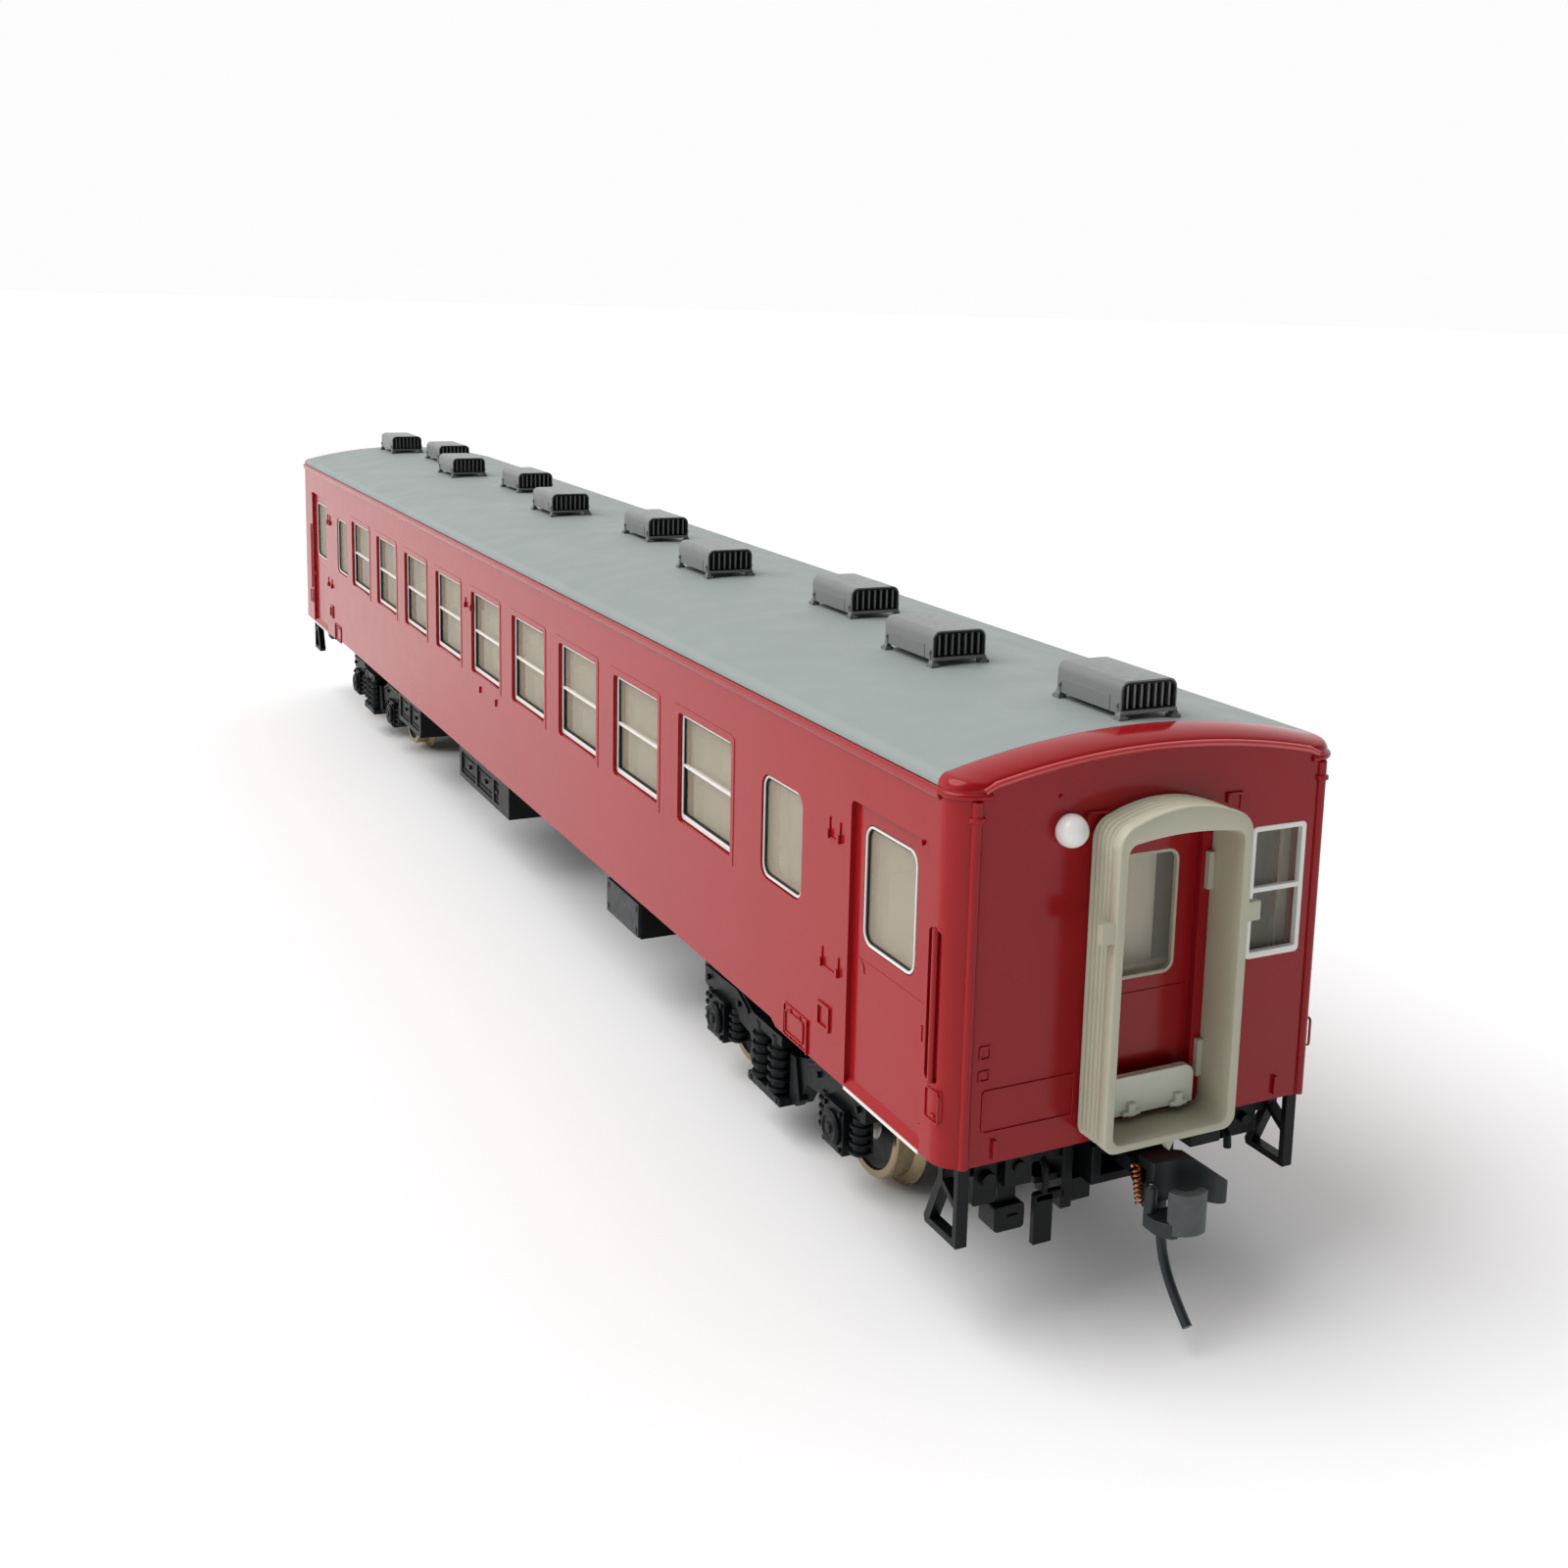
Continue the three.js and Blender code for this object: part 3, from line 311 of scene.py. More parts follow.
def carved(solid, cutters):
    """Cuts solids out of a solid, each cutter in a pass of its own."""
    target = add_object("carved", to_mesh("carved", solid))
    helpers = []
    for cutter in cutters:
        helper = add_object("cutter", to_mesh("cutter", cutter))
        modifier = target.modifiers.new("cut", "BOOLEAN")
        modifier.operation = "DIFFERENCE"
        modifier.solver = "EXACT"
        modifier.object = helper
        helpers.append(helper)
    evaluated = target.evaluated_get(bpy.context.evaluated_depsgraph_get())
    result = from_mesh(evaluated.to_mesh())
    evaluated.to_mesh_clear()
    for helper in [target, *helpers]:
        bpy.data.objects.remove(helper)
    return result


def piece(name, solid, material, slot, replaces=(), body="coach", turn=0.0, lift=BODY_BOTTOM, move=(0, 0), bevel=0.0,
          smooth=35):
    """A finished object: the shape turned about z, moved, lifted, softened and given to a body of the frame."""
    mesh = to_mesh(name, solid)
    place = Matrix.Translation((move[0], move[1], lift)) @ Matrix.Rotation(turn, 4, "Z")
    mesh.transform(Matrix.Scale(MM, 4) @ place)
    mesh.polygons.foreach_set("use_smooth", [True] * len(mesh.polygons))
    mesh.materials.append(material)
    obj = add_object(name, mesh)
    if bevel:
        modifier = obj.modifiers.new("soft_edges", "BEVEL")
        modifier.width = bevel * MM
        modifier.segments = 2
        modifier.limit_method = "ANGLE"
        modifier.angle_limit = math.radians(smooth)
        modifier.harden_normals = True
        modifier.use_clamp_overlap = True
    else:
        mesh.set_sharp_from_angle(angle=math.radians(smooth))
    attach(obj, body)
    if replaces:
        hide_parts(*replaces)
    return obj


def node_of(tree, kind, **inputs):
    node = tree.nodes.new(kind)
    for key, value in inputs.items():
        node.inputs[key.replace("_", " ")].default_value = value
    return node


def noise(tree, scale, detail=3.0, stretch=None):
    place = tree.nodes.new("ShaderNodeTexCoord").outputs["Object"]
    if stretch:
        mapping = tree.nodes.new("ShaderNodeMapping")
        mapping.inputs["Scale"].default_value = stretch
        tree.links.new(place, mapping.inputs["Vector"])
        place = mapping.outputs["Vector"]
    texture = node_of(tree, "ShaderNodeTexNoise", Scale=scale, Detail=detail)
    tree.links.new(place, texture.inputs["Vector"])
    return texture.outputs["Fac"]


def ranged(tree, value, low, high):
    node = node_of(tree, "ShaderNodeMapRange", From_Min=0.25, From_Max=0.75, To_Min=low, To_Max=high)
    tree.links.new(value, node.inputs["Value"])
    return node.outputs["Result"]


def linear(value):
    """A screen colour's value out of 255 as an amount of light."""
    value /= 255
    return value / 12.92 if value <= 0.04045 else ((value + 0.055) / 1.055) ** 2.4


def finish(name, colour, rough, metallic=0.0, tint=0.06, patch=90, grain=2600, bump=0.05, depth=0.02,
           stretch=None, specular=0.5, alpha=1.0):
    """A moulded, painted or cast surface: soft patches of colour, uneven gloss and a fine grain."""
    colour = [linear(value) for value in colour]
    material = bpy.data.materials.new(name)
    material.use_nodes = True
    tree = material.node_tree
    shader = tree.nodes["Principled BSDF"]
    light = [min(c * (1 + tint), 1) for c in colour] + [1]
    dark = [c * (1 - tint) for c in colour] + [1]
    mix = tree.nodes.new("ShaderNodeMix")
    mix.data_type = "RGBA"
    mix.inputs["A"].default_value = dark
    mix.inputs["B"].default_value = light
    tree.links.new(ranged(tree, noise(tree, patch, 4.0, stretch), 0, 1), mix.inputs["Factor"])
    tree.links.new(mix.outputs["Result"], shader.inputs["Base Color"])
    gloss = noise(tree, patch * 3.7, 5.0, stretch)
    tree.links.new(ranged(tree, gloss, rough * 0.82, min(rough * 1.22, 1)), shader.inputs["Roughness"])
    surface = node_of(tree, "ShaderNodeBump", Strength=bump, Distance=depth * MM)
    tree.links.new(noise(tree, grain, 4.0, stretch), surface.inputs["Height"])
    tree.links.new(surface.outputs["Normal"], shader.inputs["Normal"])
    shader.inputs["Metallic"].default_value = metallic
    shader.inputs["Specular IOR Level"].default_value = specular
    shader.inputs["Alpha"].default_value = alpha
    return material


RED = finish("red_gloss", (152, 19, 26), 0.17, tint=0.03, bump=0.02, depth=0.01, specular=0.26)
# A lighter red for the dome's bead: a painted highlight along the bead.
RED_BEAD_HIGHLIGHT = finish("red_bead_painted_highlight", (192, 58, 62), 0.2, tint=0.05, patch=200, bump=0.02, depth=0.01, specular=0.75)
ROOF_GREY = finish("roof_satin", (142, 150, 148), 0.6, tint=0.03, patch=60, grain=5200, bump=0.18, specular=0.35)
VENT_GREY = finish("ventilator_satin", (103, 106, 105), 0.34, tint=0.05, patch=400, bump=0.1, specular=0.9)
# Near-black used only for painted shade: inside the ventilator hoods and in the gaps round the window frames.
PAINTED_SHADE = finish("louvre_shadow", (30, 34, 36), 0.6, tint=0.1, patch=500, bump=0.1, specular=0.25)
GANGWAY_GREY = finish("gangway_satin", (186, 184, 164), 0.45, tint=0.03, patch=220, bump=0.1)
PLATE_GREY = finish("footplate_satin", (212, 216, 200), 0.42, tint=0.03, patch=300, bump=0.1)
WHITE = finish("white_gloss", (240, 240, 236), 0.2, tint=0.015, patch=300, bump=0.04)
SILVER = finish("sash_silver", (222, 218, 212), 0.3, tint=0.03, patch=500, bump=0.06)
SLATE = finish("box_slate", (30, 38, 40), 0.4, tint=0.12, patch=300, bump=0.12, specular=0.3)
BLACK = finish("underframe_black", (9, 14, 16), 0.42, tint=0.16, patch=300, bump=0.12, depth=0.03, specular=0.2)
CREAM = finish("interior_cream", (226, 219, 200), 0.6, tint=0.03, patch=120, bump=0.1)
DUSK = finish("interior_dusk", (62, 62, 66), 0.5, tint=0.06, patch=200, bump=0.1)
STEEL = finish("turned_steel", (150, 146, 138), 0.3, 1.0, tint=0.08, patch=400, bump=0.1)
RIM = finish("wheel_nickel", (160, 142, 112), 0.28, 1.0, tint=0.14, patch=300, bump=0.12, stretch=(1, 6, 1))
CASTING = finish("coupler_casting", (34, 40, 43), 0.36, 0.3, tint=0.16, patch=700, grain=4200, bump=0.3)
KNUCKLE_FACE = finish("knuckle_casting", (77, 82, 82), 0.36, 0.5, tint=0.14, patch=800, grain=4200, bump=0.35)
COPPER = finish("spring_copper", (196, 128, 74), 0.24, 1.0, tint=0.1, patch=900, bump=0.08)
GLASS = finish("window_clear", (218, 208, 184), 0.06, tint=0.02, patch=60, bump=0.02, depth=0.01, alpha=0.3)
END_GLASS = finish("end_clear", (218, 214, 198), 0.06, tint=0.02, patch=60, bump=0.02, depth=0.01, alpha=0.12)

# ---------- body shell ----------


def arch_z(y, crown, radius=ROOF_RADIUS):
    return crown - (radius - math.sqrt(radius * radius - y * y))


def roof_line(half_width, crown, eave=EAVE, steps=28, round_steps=6):
    """The roof's outline from the +Y eave to the -Y eave."""
    arc_end = half_width - EAVE_ROUND
    height = arch_z(arc_end, crown) - eave
    angles = [math.radians(90 * i / round_steps) for i in range(round_steps)]
    eave_arc = [(arc_end + EAVE_ROUND * math.cos(angle), eave + height * math.sin(angle)) for angle in angles]
    middle = [arc_end * (1 - 2 * i / steps) for i in range(steps + 1)]
    points = eave_arc + [(y, arch_z(y, crown)) for y in middle]
    return points + [(-y, z) for y, z in reversed(eave_arc)]


def body_form():
    places = [(ROOF_END, SIDE_Y), ((ROOF_END + END_X - CORNER_RADIUS) / 2, SIDE_Y)]
    for i in range(13):
        angle = math.radians(7.5 * i)
        x = END_X - CORNER_RADIUS * (1 - math.sin(angle))
        places.append((x, SIDE_Y - CORNER_RADIUS * (1 - math.cos(angle))))
    sections = []
    for x, half in places:
        along = min((x - ROOF_END) / DOME_LENGTH, 1)
        crown = END_CROWN + (CROWN - END_CROWN) * math.sqrt(1 - along * along)
        sections.append((x, [(-half, 0), (half, 0)] + roof_line(half, crown)))
    sections = [(-x, outline) for x, outline in reversed(sections)] + sections
    return loft([[(x, y, z) for y, z in outline] for x, outline in sections])


def side_holes():
    """Every window through both side walls, as outlines in x and z."""
    shapes = [(x, WINDOW) for x in WINDOWS]
    shapes += [(x, SMALL_WINDOW) for x in SMALL_WINDOWS]
    shapes += [(x + math.copysign(DOOR_WINDOW.shift, x * DOOR_WINDOW.shift), DOOR_WINDOW) for x in DOORS]
    return shapes


def hole_outline(centre, window, grow=0.0):
    return rounded_rect(centre, window.width + 2 * grow, window.low - grow, window.high + grow,
                        window.corner + grow)


def body_shell():
    inside = SIDE_Y - WALL
    inner_x = END_X - END_WALL
    across = (-SIDE_Y - 1, SIDE_Y + 1)
    lid = block((-ROOF_END, ROOF_END), across, (EAVE, CROWN + 1))
    cavity = block((-inner_x, inner_x), (-inside, inside), (-1, EAVE - 1.2))
    mouth = block((-ROOF_END, ROOF_END), (-inside, inside), (EAVE - 2, EAVE + 1))
    end, slope = SKIRT.end, SKIRT.slope
    rise = [(-end, -1), (end, -1), (end, 0), (end - slope, SKIRT.rise), (-end + slope, SKIRT.rise), (-end, 0)]
    windows = merge(*[prism("y", hole_outline(x, shape), across) for x, shape in side_holes()])
    recesses = []
    for side in SIDES.values():
        for centre in DOORS:
            outline = round_topped(centre, DOOR.width, DOOR.low, DOOR.high, 0.6)
            recesses.append(prism("y", outline, span(side, SIDE_Y - DOOR.recess, SIDE_Y + 1)))
            slot = centre + math.copysign(HANDRAIL_SLOT.shift, centre)
            outline = rounded_rect(slot, HANDRAIL_SLOT.width, HANDRAIL_SLOT.low, HANDRAIL_SLOT.high, 0.4, 3)
            recesses.append(prism("y", outline, span(side, SIDE_Y - HANDRAIL_SLOT.depth, SIDE_Y + 1)))
    end_cuts, end_holes = [], []
    for sign in (-1, 1):
        outline = rounded_rect(0, 2 * END_DOOR.half, END_DOOR.low, END_DOOR.high, 0.3, 2)
        end_cuts.append(prism("x", outline, span(sign, DOOR_FLOOR, END_X + 1)))
        through = span(sign, END_X - END_WALL - 1, END_X + 1)
        end_holes.append(prism("x", hole_outline(0, END_DOOR_WINDOW), through))
        end_holes.append(prism("x", hole_outline(sign * END_WINDOW.y, END_WINDOW), through))
    cutters = [lid, cavity, mouth, prism("y", rise, across), windows, merge(*recesses), merge(*end_cuts),
               merge(*end_holes)]
    return carved(body_form(), cutters)


piece("shell", body_shell(), RED, "red_shell", ["body_shell"], bevel=0.1, smooth=32)


def gutter(side):
    """The drip rail along one eave, with a turned-in lip round each corner."""
    face = SIDE_Y + 0.3
    root = SIDE_Y - 0.5
    outline = [(root, EAVE), (face - 0.12, EAVE), (face, EAVE - 0.14), (face, EAVE - 0.62),
               (face - 0.14, EAVE - 0.85), (root, EAVE - 0.9)]
    rail = prism("x", [(side * y, z) for y, z in outline], (-ROOF_END - 0.6, ROOF_END + 0.6))
    lips = []
    for sign in (-1, 1):
        bend = arc(SIDE_Y - CORNER_RADIUS, END_X - CORNER_RADIUS, CORNER_RADIUS - 0.02, 0, 90, 8)
        path = [(SIDE_Y - 0.02, ROOF_END - 1), *bend, (SIDE_Y - CORNER_RADIUS - 0.5, END_X - 0.02)]
        lips.append(sweep([(sign * x, side * y, EAVE - 0.28) for y, x in path], 0.3, 12))
    return merge(rail, *lips)


for name, side in SIDES.items():
    piece(f"gutter_{name}", gutter(side), RED, "red_shell", bevel=0.07)

# ---------- details moulded on the sides ----------


def proud(x, z, height=0.12):
    """A raised bar on the -Y side, from the wall outwards."""
    return block(x, (-SIDE_Y - height, -SIDE_Y + 0.2), z)


def press_line(centre):
    """The thin pressed line that runs along the top of a window and down its front side."""
    half = WINDOW.width / 2 + 0.75
    top = WINDOW.high + 0.72
    foot = WINDOW.low - 0.6
    path = [(centre + half, foot), *arc(centre + half - 0.7, top - 0.7, 0.7, 0, 90, 4), (centre - half, top)]
    return sweep([(x, -SIDE_Y, z) for x, z in path], 0.075, 6)


def hook(x, z, width, height):
    """A sign holder: two thin posts with a knob at the foot of each and a bar between them."""
    right = x + width
    return merge(proud((x, right), (z, z + 0.12)), proud((x, x + 0.14), (z, z + height)),
                 proud((right - 0.14, right), (z, z + height)),
                 proud((x - 0.1, x + 0.25), (z - 0.05, z + 0.65), 0.3),
                 proud((right - 0.25, right + 0.1), (z - 0.05, z + 0.65), 0.3))


def bars_round(across, z, bar, corner):
    (left, right), (low, high) = across, z
    return frame_outlines((left + right) / 2, right - left, low, high, corner, (bar, bar, bar), 3)


def outline_bars(x, z, bar=0.14, height=0.12, corner=0.3):
    return ring("y", *bars_round(x, z, bar, corner), (-SIDE_Y - height, -SIDE_Y + 0.1))


def door_surroundings(centre):
    """Everything moulded near one door, drawn for the front one and turned for the rear one."""
    door_y = -SIDE_Y + DOOR.recess
    x = DOORS[0]
    left, right = x - DOOR.width / 2, x + DOOR.width / 2
    slot = x + HANDRAIL_SLOT.shift
    parts = [
        hook(101.9, 19.9, 2.0, 1.7), hook(101.1, 8.8, 3.1, 1.6),
        outline_bars((94.1, 98.8), (0.1, 3.05), 0.12), outline_bars((94.4, 98.0), (0.45, 2.5), 0.12),
        proud((98.7, 98.86), (-0.0, 3.05), 0.2), proud((95.4, 95.55), (2.4, 3.0)), proud((97.2, 97.35), (2.4, 3.0)),
        proud((95.4, 95.55), (0.1, 0.5)), proud((97.2, 97.35), (0.1, 0.5)),
        outline_bars((100.6, 102.9), (3.45, 5.65), 0.3, 0.2, 0.1),
        outline_bars((118.85, 120.85), (3.3, 5.8), 0.12, 0.12), proud((119.7, 120.2), (3.7, 3.9), 0.1),
        rod("y", 0.22, (-SIDE_Y - 0.25, -SIDE_Y + 0.1), (117.2, 23.8), 12),
        rod("z", 0.3, (HANDRAIL_SLOT.low - 0.1, HANDRAIL_SLOT.high + 0.1), (slot, -SIDE_Y + 0.12), 12),
        block((left + 0.3, right - 0.3), (door_y - 0.04, door_y + 0.2), (11.25, 11.37)),
        prism("x", [(door_y + 0.05, 0.26), (-SIDE_Y + 0.01, 0.26), (door_y + 0.05, 0.9)],
              (left + 0.02, right - 0.02)),
        turned("y", [(0, door_y - 0.35), (0.2, door_y - 0.32), (0.26, door_y - 0.1), (0.26, door_y + 0.1)],
               (right - 0.7, 9.1), 12),
        block((right - 0.85, right - 0.55), (door_y - 0.3, door_y + 0.1), (8.5, 9.7)),
        block((right - 0.7, right - 0.4), (door_y - 0.25, door_y + 0.1), (0.9, 2.0)),
        sweep([(left + x, door_y - 0.02, z) for x, z in ((1.2, 11.3), (1.9, 10.9), (2.1, 10.2))], 0.06, 6),
    ]
    solid = merge(*parts)
    if centre > 0:
        return solid
    shift = -centre - x
    return [(-(px + shift), py, pz) for px, py, pz in solid[0]], solid[1]


def side_mouldings():
    parts = [press_line(x) for x in WINDOWS]
    parts += [door_surroundings(x) for x in DOORS]
    return merge(*parts, hook(-8.0, 20.3, 3.0, 1.3), proud((-1.1, -0.95), (10.0, 10.9), 0.2),
                 proud((6.2, 6.35), (9.8, 10.7), 0.2))


for name, side in SIDES.items():
    solid = side_mouldings()
    piece(f"mouldings_{name}", solid if side < 0 else mirrored(solid), RED, "red_shell", bevel=0.035)

# ---------- windows ----------


def window_frame(centre, window):
    face = SIDE_Y - window.set_back
    outer, inner = frame_outlines(centre, window.width - 2 * FRAME_GAP, window.low + FRAME_GAP, window.high - FRAME_GAP,
                                  window.corner - FRAME_GAP, window.bars, window.steps)
    return ring("y", outer, inner, (face - 0.5, face))


def meeting_rail(centre):
    """Where a window's two sashes meet: the upper one's bar stands in front of the lower one's."""
    face = SIDE_Y - WINDOW.set_back
    x = about(centre, WINDOW.width / 2 - 0.3)
    return merge(block(x, (face - 0.45, face - 0.06), (SASH_RAIL - 0.02, SASH_RAIL + 0.26)),
                 block(x, (face - 0.6, face - 0.25), (SASH_RAIL - 0.2, SASH_RAIL)))


def shade_ring(centre, window):
    """A dark ring in the gap round a window's frame: painted shade that shows as a thin line outside and inside the
    frame.
    """
    face = SIDE_Y - window.set_back
    bars = [bar + 2 * FRAME_GAP for bar in window.bars]
    outer, inner = frame_outlines(centre, window.width - 0.01, window.low + 0.005, window.high - 0.005, window.corner,
                                  bars, window.steps)
    return ring("y", outer, inner, (face - 0.45, face - 0.12))


def side_frames():
    return merge(*[window_frame(x, window) for x, window in side_holes()], *[meeting_rail(x) for x in WINDOWS])


def side_panes():
    """Clear panes: the upper sash's stands nearer the wall's face than the lower one's."""
    parts = []
    for x in WINDOWS:
        width = about(x, WINDOW.width / 2 - 0.36)
        parts += [block(width, (SIDE_Y - 1.25, SIDE_Y - 0.7), (SASH_RAIL + 0.05, WINDOW.high - 0.46)),
                  block(width, (SIDE_Y - 1.4, SIDE_Y - 0.85), (WINDOW.low + 0.6, SASH_RAIL - 0.02))]
    for x, window in side_holes():
        if window is not WINDOW:
            back = 0.45 if window is SMALL_WINDOW else DOOR.recess + 0.25
            parts.append(prism("y", hole_outline(x, window, -0.3), (SIDE_Y - back - 0.5, SIDE_Y - back)))
    return merge(*parts)


def sills():
    """The bright tread at the foot of each door."""
    half = DOOR.width / 2 - 0.05
    return merge(*[block(about(x, half), (SIDE_Y - 0.9, SIDE_Y + 0.1), (-0.15, 0.12)) for x in DOORS])


for name, side in SIDES.items():
    flip = mirrored if side < 0 else (lambda solid: solid)
    piece(f"sash_frames_{name}", flip(side_frames()), SILVER, "marker_white", bevel=0.06)
    piece(f"panes_{name}", flip(side_panes()), GLASS, "glazing", [f"side_glazing_{name}"])
    # thin dark rings round the frames: painted shade in the gaps and at the glass edges
    shade_rings = merge(*[shade_ring(x, window) for x, window in side_holes()])
    piece(f"seals_{name}", flip(shade_rings), PAINTED_SHADE, "underframe_black")
    piece(f"door_sills_{name}", flip(sills()), SILVER, "marker_white", bevel=0.06)

# ---------- roof and ventilators ----------


def roof():
    outer = roof_line(SIDE_Y - 0.03, CROWN, EAVE + 0.02)
    inner_y = SIDE_Y - WALL
    inner = [(inner_y * (2 * i / 16 - 1), arch_z(inner_y * (2 * i / 16 - 1), CROWN - 1.2)) for i in range(17)]
    inner[0] = (-inner_y, EAVE + 0.02)
    inner[-1] = (inner_y, EAVE + 0.02)
    return prism("x", outer + inner, (-ROOF_END + 0.03, ROOF_END - 0.03))


piece("roof_skin", roof(), ROOF_GREY, "roof_grey", ["roof"], bevel=0.05, smooth=40)

VENT = Sizes(length=8.75, width=5.3, low=32.05, high=34.6, round=0.75)
SLATS = 7


def hood_outline(inset=0.0):
    return round_topped(0, VENT.width - 2 * inset, VENT.low + inset, VENT.high - inset, VENT.round - inset * 0.6, 6)


def ventilator(offset):
    """A hood open at both ends, with slats in its mouths, a ledge under each and four feet on the roof."""
    end = VENT.length / 2
    side = VENT.width / 2
    parts = [ring("x", hood_outline(), hood_outline(0.16), (-end, end))]
    for face in (-1, 1):
        for i in range(SLATS):
            y = (i + 0.5 - SLATS / 2) * (VENT.width - 0.7) / SLATS
            x = span(face, end - 0.75, end - 0.1)
            slat = block(x, about(y, 0.1), (VENT.low + 0.35, VENT.high - 0.3))
            parts.append(([(px, py + 0.28 * abs(px - face * end), pz) for px, py, pz in slat[0]], slat[1]))
        ledge = span(face, end - 0.1, end + 0.2)
        parts.append(block(ledge, (-side + 0.05, side - 0.05), (VENT.low - 0.04, VENT.low + 0.24)))
        for flank in (-1, 1):
            foot_y = flank * (side - 0.15)
            foot_x = face * (end - 0.15)
            ground = arch_z(abs(offset + foot_y) + 0.3, CROWN)
            parts.append(block(about(foot_x, 0.48), about(foot_y, 0.4), (ground - 0.1, ground + 0.3)))
            taper = [(-0.36, -0.3), (0.36, -0.3), (0.36, 0.3), (-0.36, 0.3)]
            parts.append(loft([[(foot_x + size * a, foot_y + size * b, ground + z) for a, b in taper]
                               for size, z in ((1, 0.3), (0.6, 0.65))]))
            strap = span(flank, side - 0.05, side + 0.08)
            strap_x = face * (end - 0.4)
            parts.append(block(about(strap_x, 0.15), strap, (VENT.low - 0.2, VENT.low + 0.9)))
            bolt = span(flank, side + 0.02, side + 0.18)
            parts.append(rod("y", 0.16, bolt, (strap_x, VENT.low + 0.65), 10))
    x, z = (-end + 1.4, end - 1.4), (VENT.low + 0.02, VENT.low + 1.25)
    panels = [block(x, span(flank, side - 0.05, side + 0.05), z) for flank in (-1, 1)]
    return merge(*parts, *panels)


def vent_shade():
    """Painted shade in a hood: a dark block filling its inside and thin dark rims just inside its mouths."""
    end = VENT.length / 2
    rims = [ring("x", hood_outline(0.14), hood_outline(0.3), span(side, end - 0.3, end + 0.01)) for side in (-1, 1)]
    return merge(prism("x", hood_outline(0.15), (-end + 0.7, end - 0.7)), *rims)


for number in range(1, 11):
    low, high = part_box(f"ventilator_{number:02d}")
    x, y = [(low[axis] + high[axis]) / 2 / MM for axis in (0, 1)]
    piece(f"hood_{number:02d}", ventilator(y), VENT_GREY, "ventilator_grey", [f"ventilator_{number:02d}"],
          move=(x, y), bevel=0.04)
    # the hood's dark inside and mouth rims are painted shade
    piece(f"hood_shade_{number:02d}", vent_shade(), PAINTED_SHADE, "ventilator_grey", move=(x, y))

# ---------- the ends ----------


def pipe(side):
    """A rain pipe on the corner of the end wall, with a collar near its top."""
    radius, collar, top = PIPE.radius, PIPE.collar, PIPE.top
    profile = [(0, 0.0), (radius, 0.0), (radius, collar - 0.05), (radius + 0.2, collar + 0.05),
               (radius + 0.2, collar + 0.35), (radius, collar + 0.45), (radius, top), (0, top)]
    return turned("z", profile, (END_X - PIPE.inset, side * PIPE.y), 20)


def end_bar(y, z, height=0.12):
    return block((END_X - 0.2, END_X + height), y, z)


def end_outline(y, z, corner=0.3):
    return ring("x", *bars_round(y, z, 0.14, corner), (END_X - 0.1, END_X + 0.12))


def dome_bead():
    """The rounded bead along the dome's lower edge, drawn in a lighter red as a painted highlight."""
    across = [15.3 * (1 - 2 * i / 32) for i in range(33)]
    line = [[END_X - 0.04, y, arch_z(y, END_CROWN) - 0.08] for y in across]
    for tip in (line[0], line[-1]):
        tip[2] -= 0.25
    return sweep(line, 0.27, 12)


def end_mouldings():
    """Pipes, lamp and sign brackets and the panel on one end wall."""
    parts = [
        pipe(-1), pipe(1),
        end_outline((-14.5, -6.4), (2.5, 5.9)),
        end_outline((-14.9, -13.9), (8.3, 9.4), corner=0.1), end_outline((-14.9, -13.9), (6.6, 7.5), corner=0.1),
        end_bar((-13.5, -13.15), (0.4, 1.9), 0.3), end_bar((12.95, 13.3), (0.5, 2.05), 0.3),
        end_bar((-6.6, -4.6), (26.0, 26.2), 0.35), end_bar((-6.6, -6.35), (25.3, 26.2), 0.35),
        end_bar((-5.0, -4.75), (25.4, 26.2), 0.3),
        end_bar((7.7, 7.95), (24.9, 26.4), 0.1), end_bar((6.4, 7.9), (26.1, 26.3), 0.25),
        end_bar((6.4, 6.6), (25.5, 26.3), 0.25), rod("x", 0.18, (END_X - 0.1, END_X + 0.2), (-8.8, 27.6), 10),
        block((DOOR_FLOOR - 0.1, DOOR_FLOOR + 0.08), (-4.0, 4.0), (11.0, 11.12)),
    ]
    return merge(*parts)


def end_frames():
    """The white frame of an end window, with its rail."""
    outer, inner = frame_outlines(END_WINDOW.y, END_WINDOW.width + 0.1, END_WINDOW.low - 0.05,
                                  END_WINDOW.high + 0.05, 0.4, (0.42, 0.55, 0.42))
    bar = block((END_X - 0.45, END_X + 0.02), about(END_WINDOW.y, END_WINDOW.width / 2 - 0.3),
                (END_RAIL - 0.2, END_RAIL + 0.22))
    return merge(ring("x", outer, inner, (END_X - 0.5, END_X + 0.08)), bar)


def door_frame():
    """The thin frame of the end door's window, and the door's two hinges."""
    outer, inner = frame_outlines(0, END_DOOR_WINDOW.width, END_DOOR_WINDOW.low, END_DOOR_WINDOW.high, 1.0,
                                  (0.26, 0.3, 0.26), 7)
    face = DOOR_FLOOR + 0.05
    hinges = [block((END_X - 0.1, END_X + 0.5), (4.75, 5.28), about(z, 1.5)) for z in (20.4, 5.2)]
    return merge(ring("x", outer, inner, (face - 0.4, face)), *hinges)


def end_panes():
    back = DOOR_FLOOR - 0.25
    pane = prism("x", hole_outline(0, END_DOOR_WINDOW, -0.25), (back - 0.4, back))
    y = about(END_WINDOW.y, END_WINDOW.width / 2 - 0.38)
    upper = block((END_X - 0.95, END_X - 0.4), y, (END_RAIL, END_WINDOW.high - 0.4))
    lower = block((END_X - 1.1, END_X - 0.55), y, (END_WINDOW.low + 0.5, END_RAIL))
    return merge(pane, upper, lower)


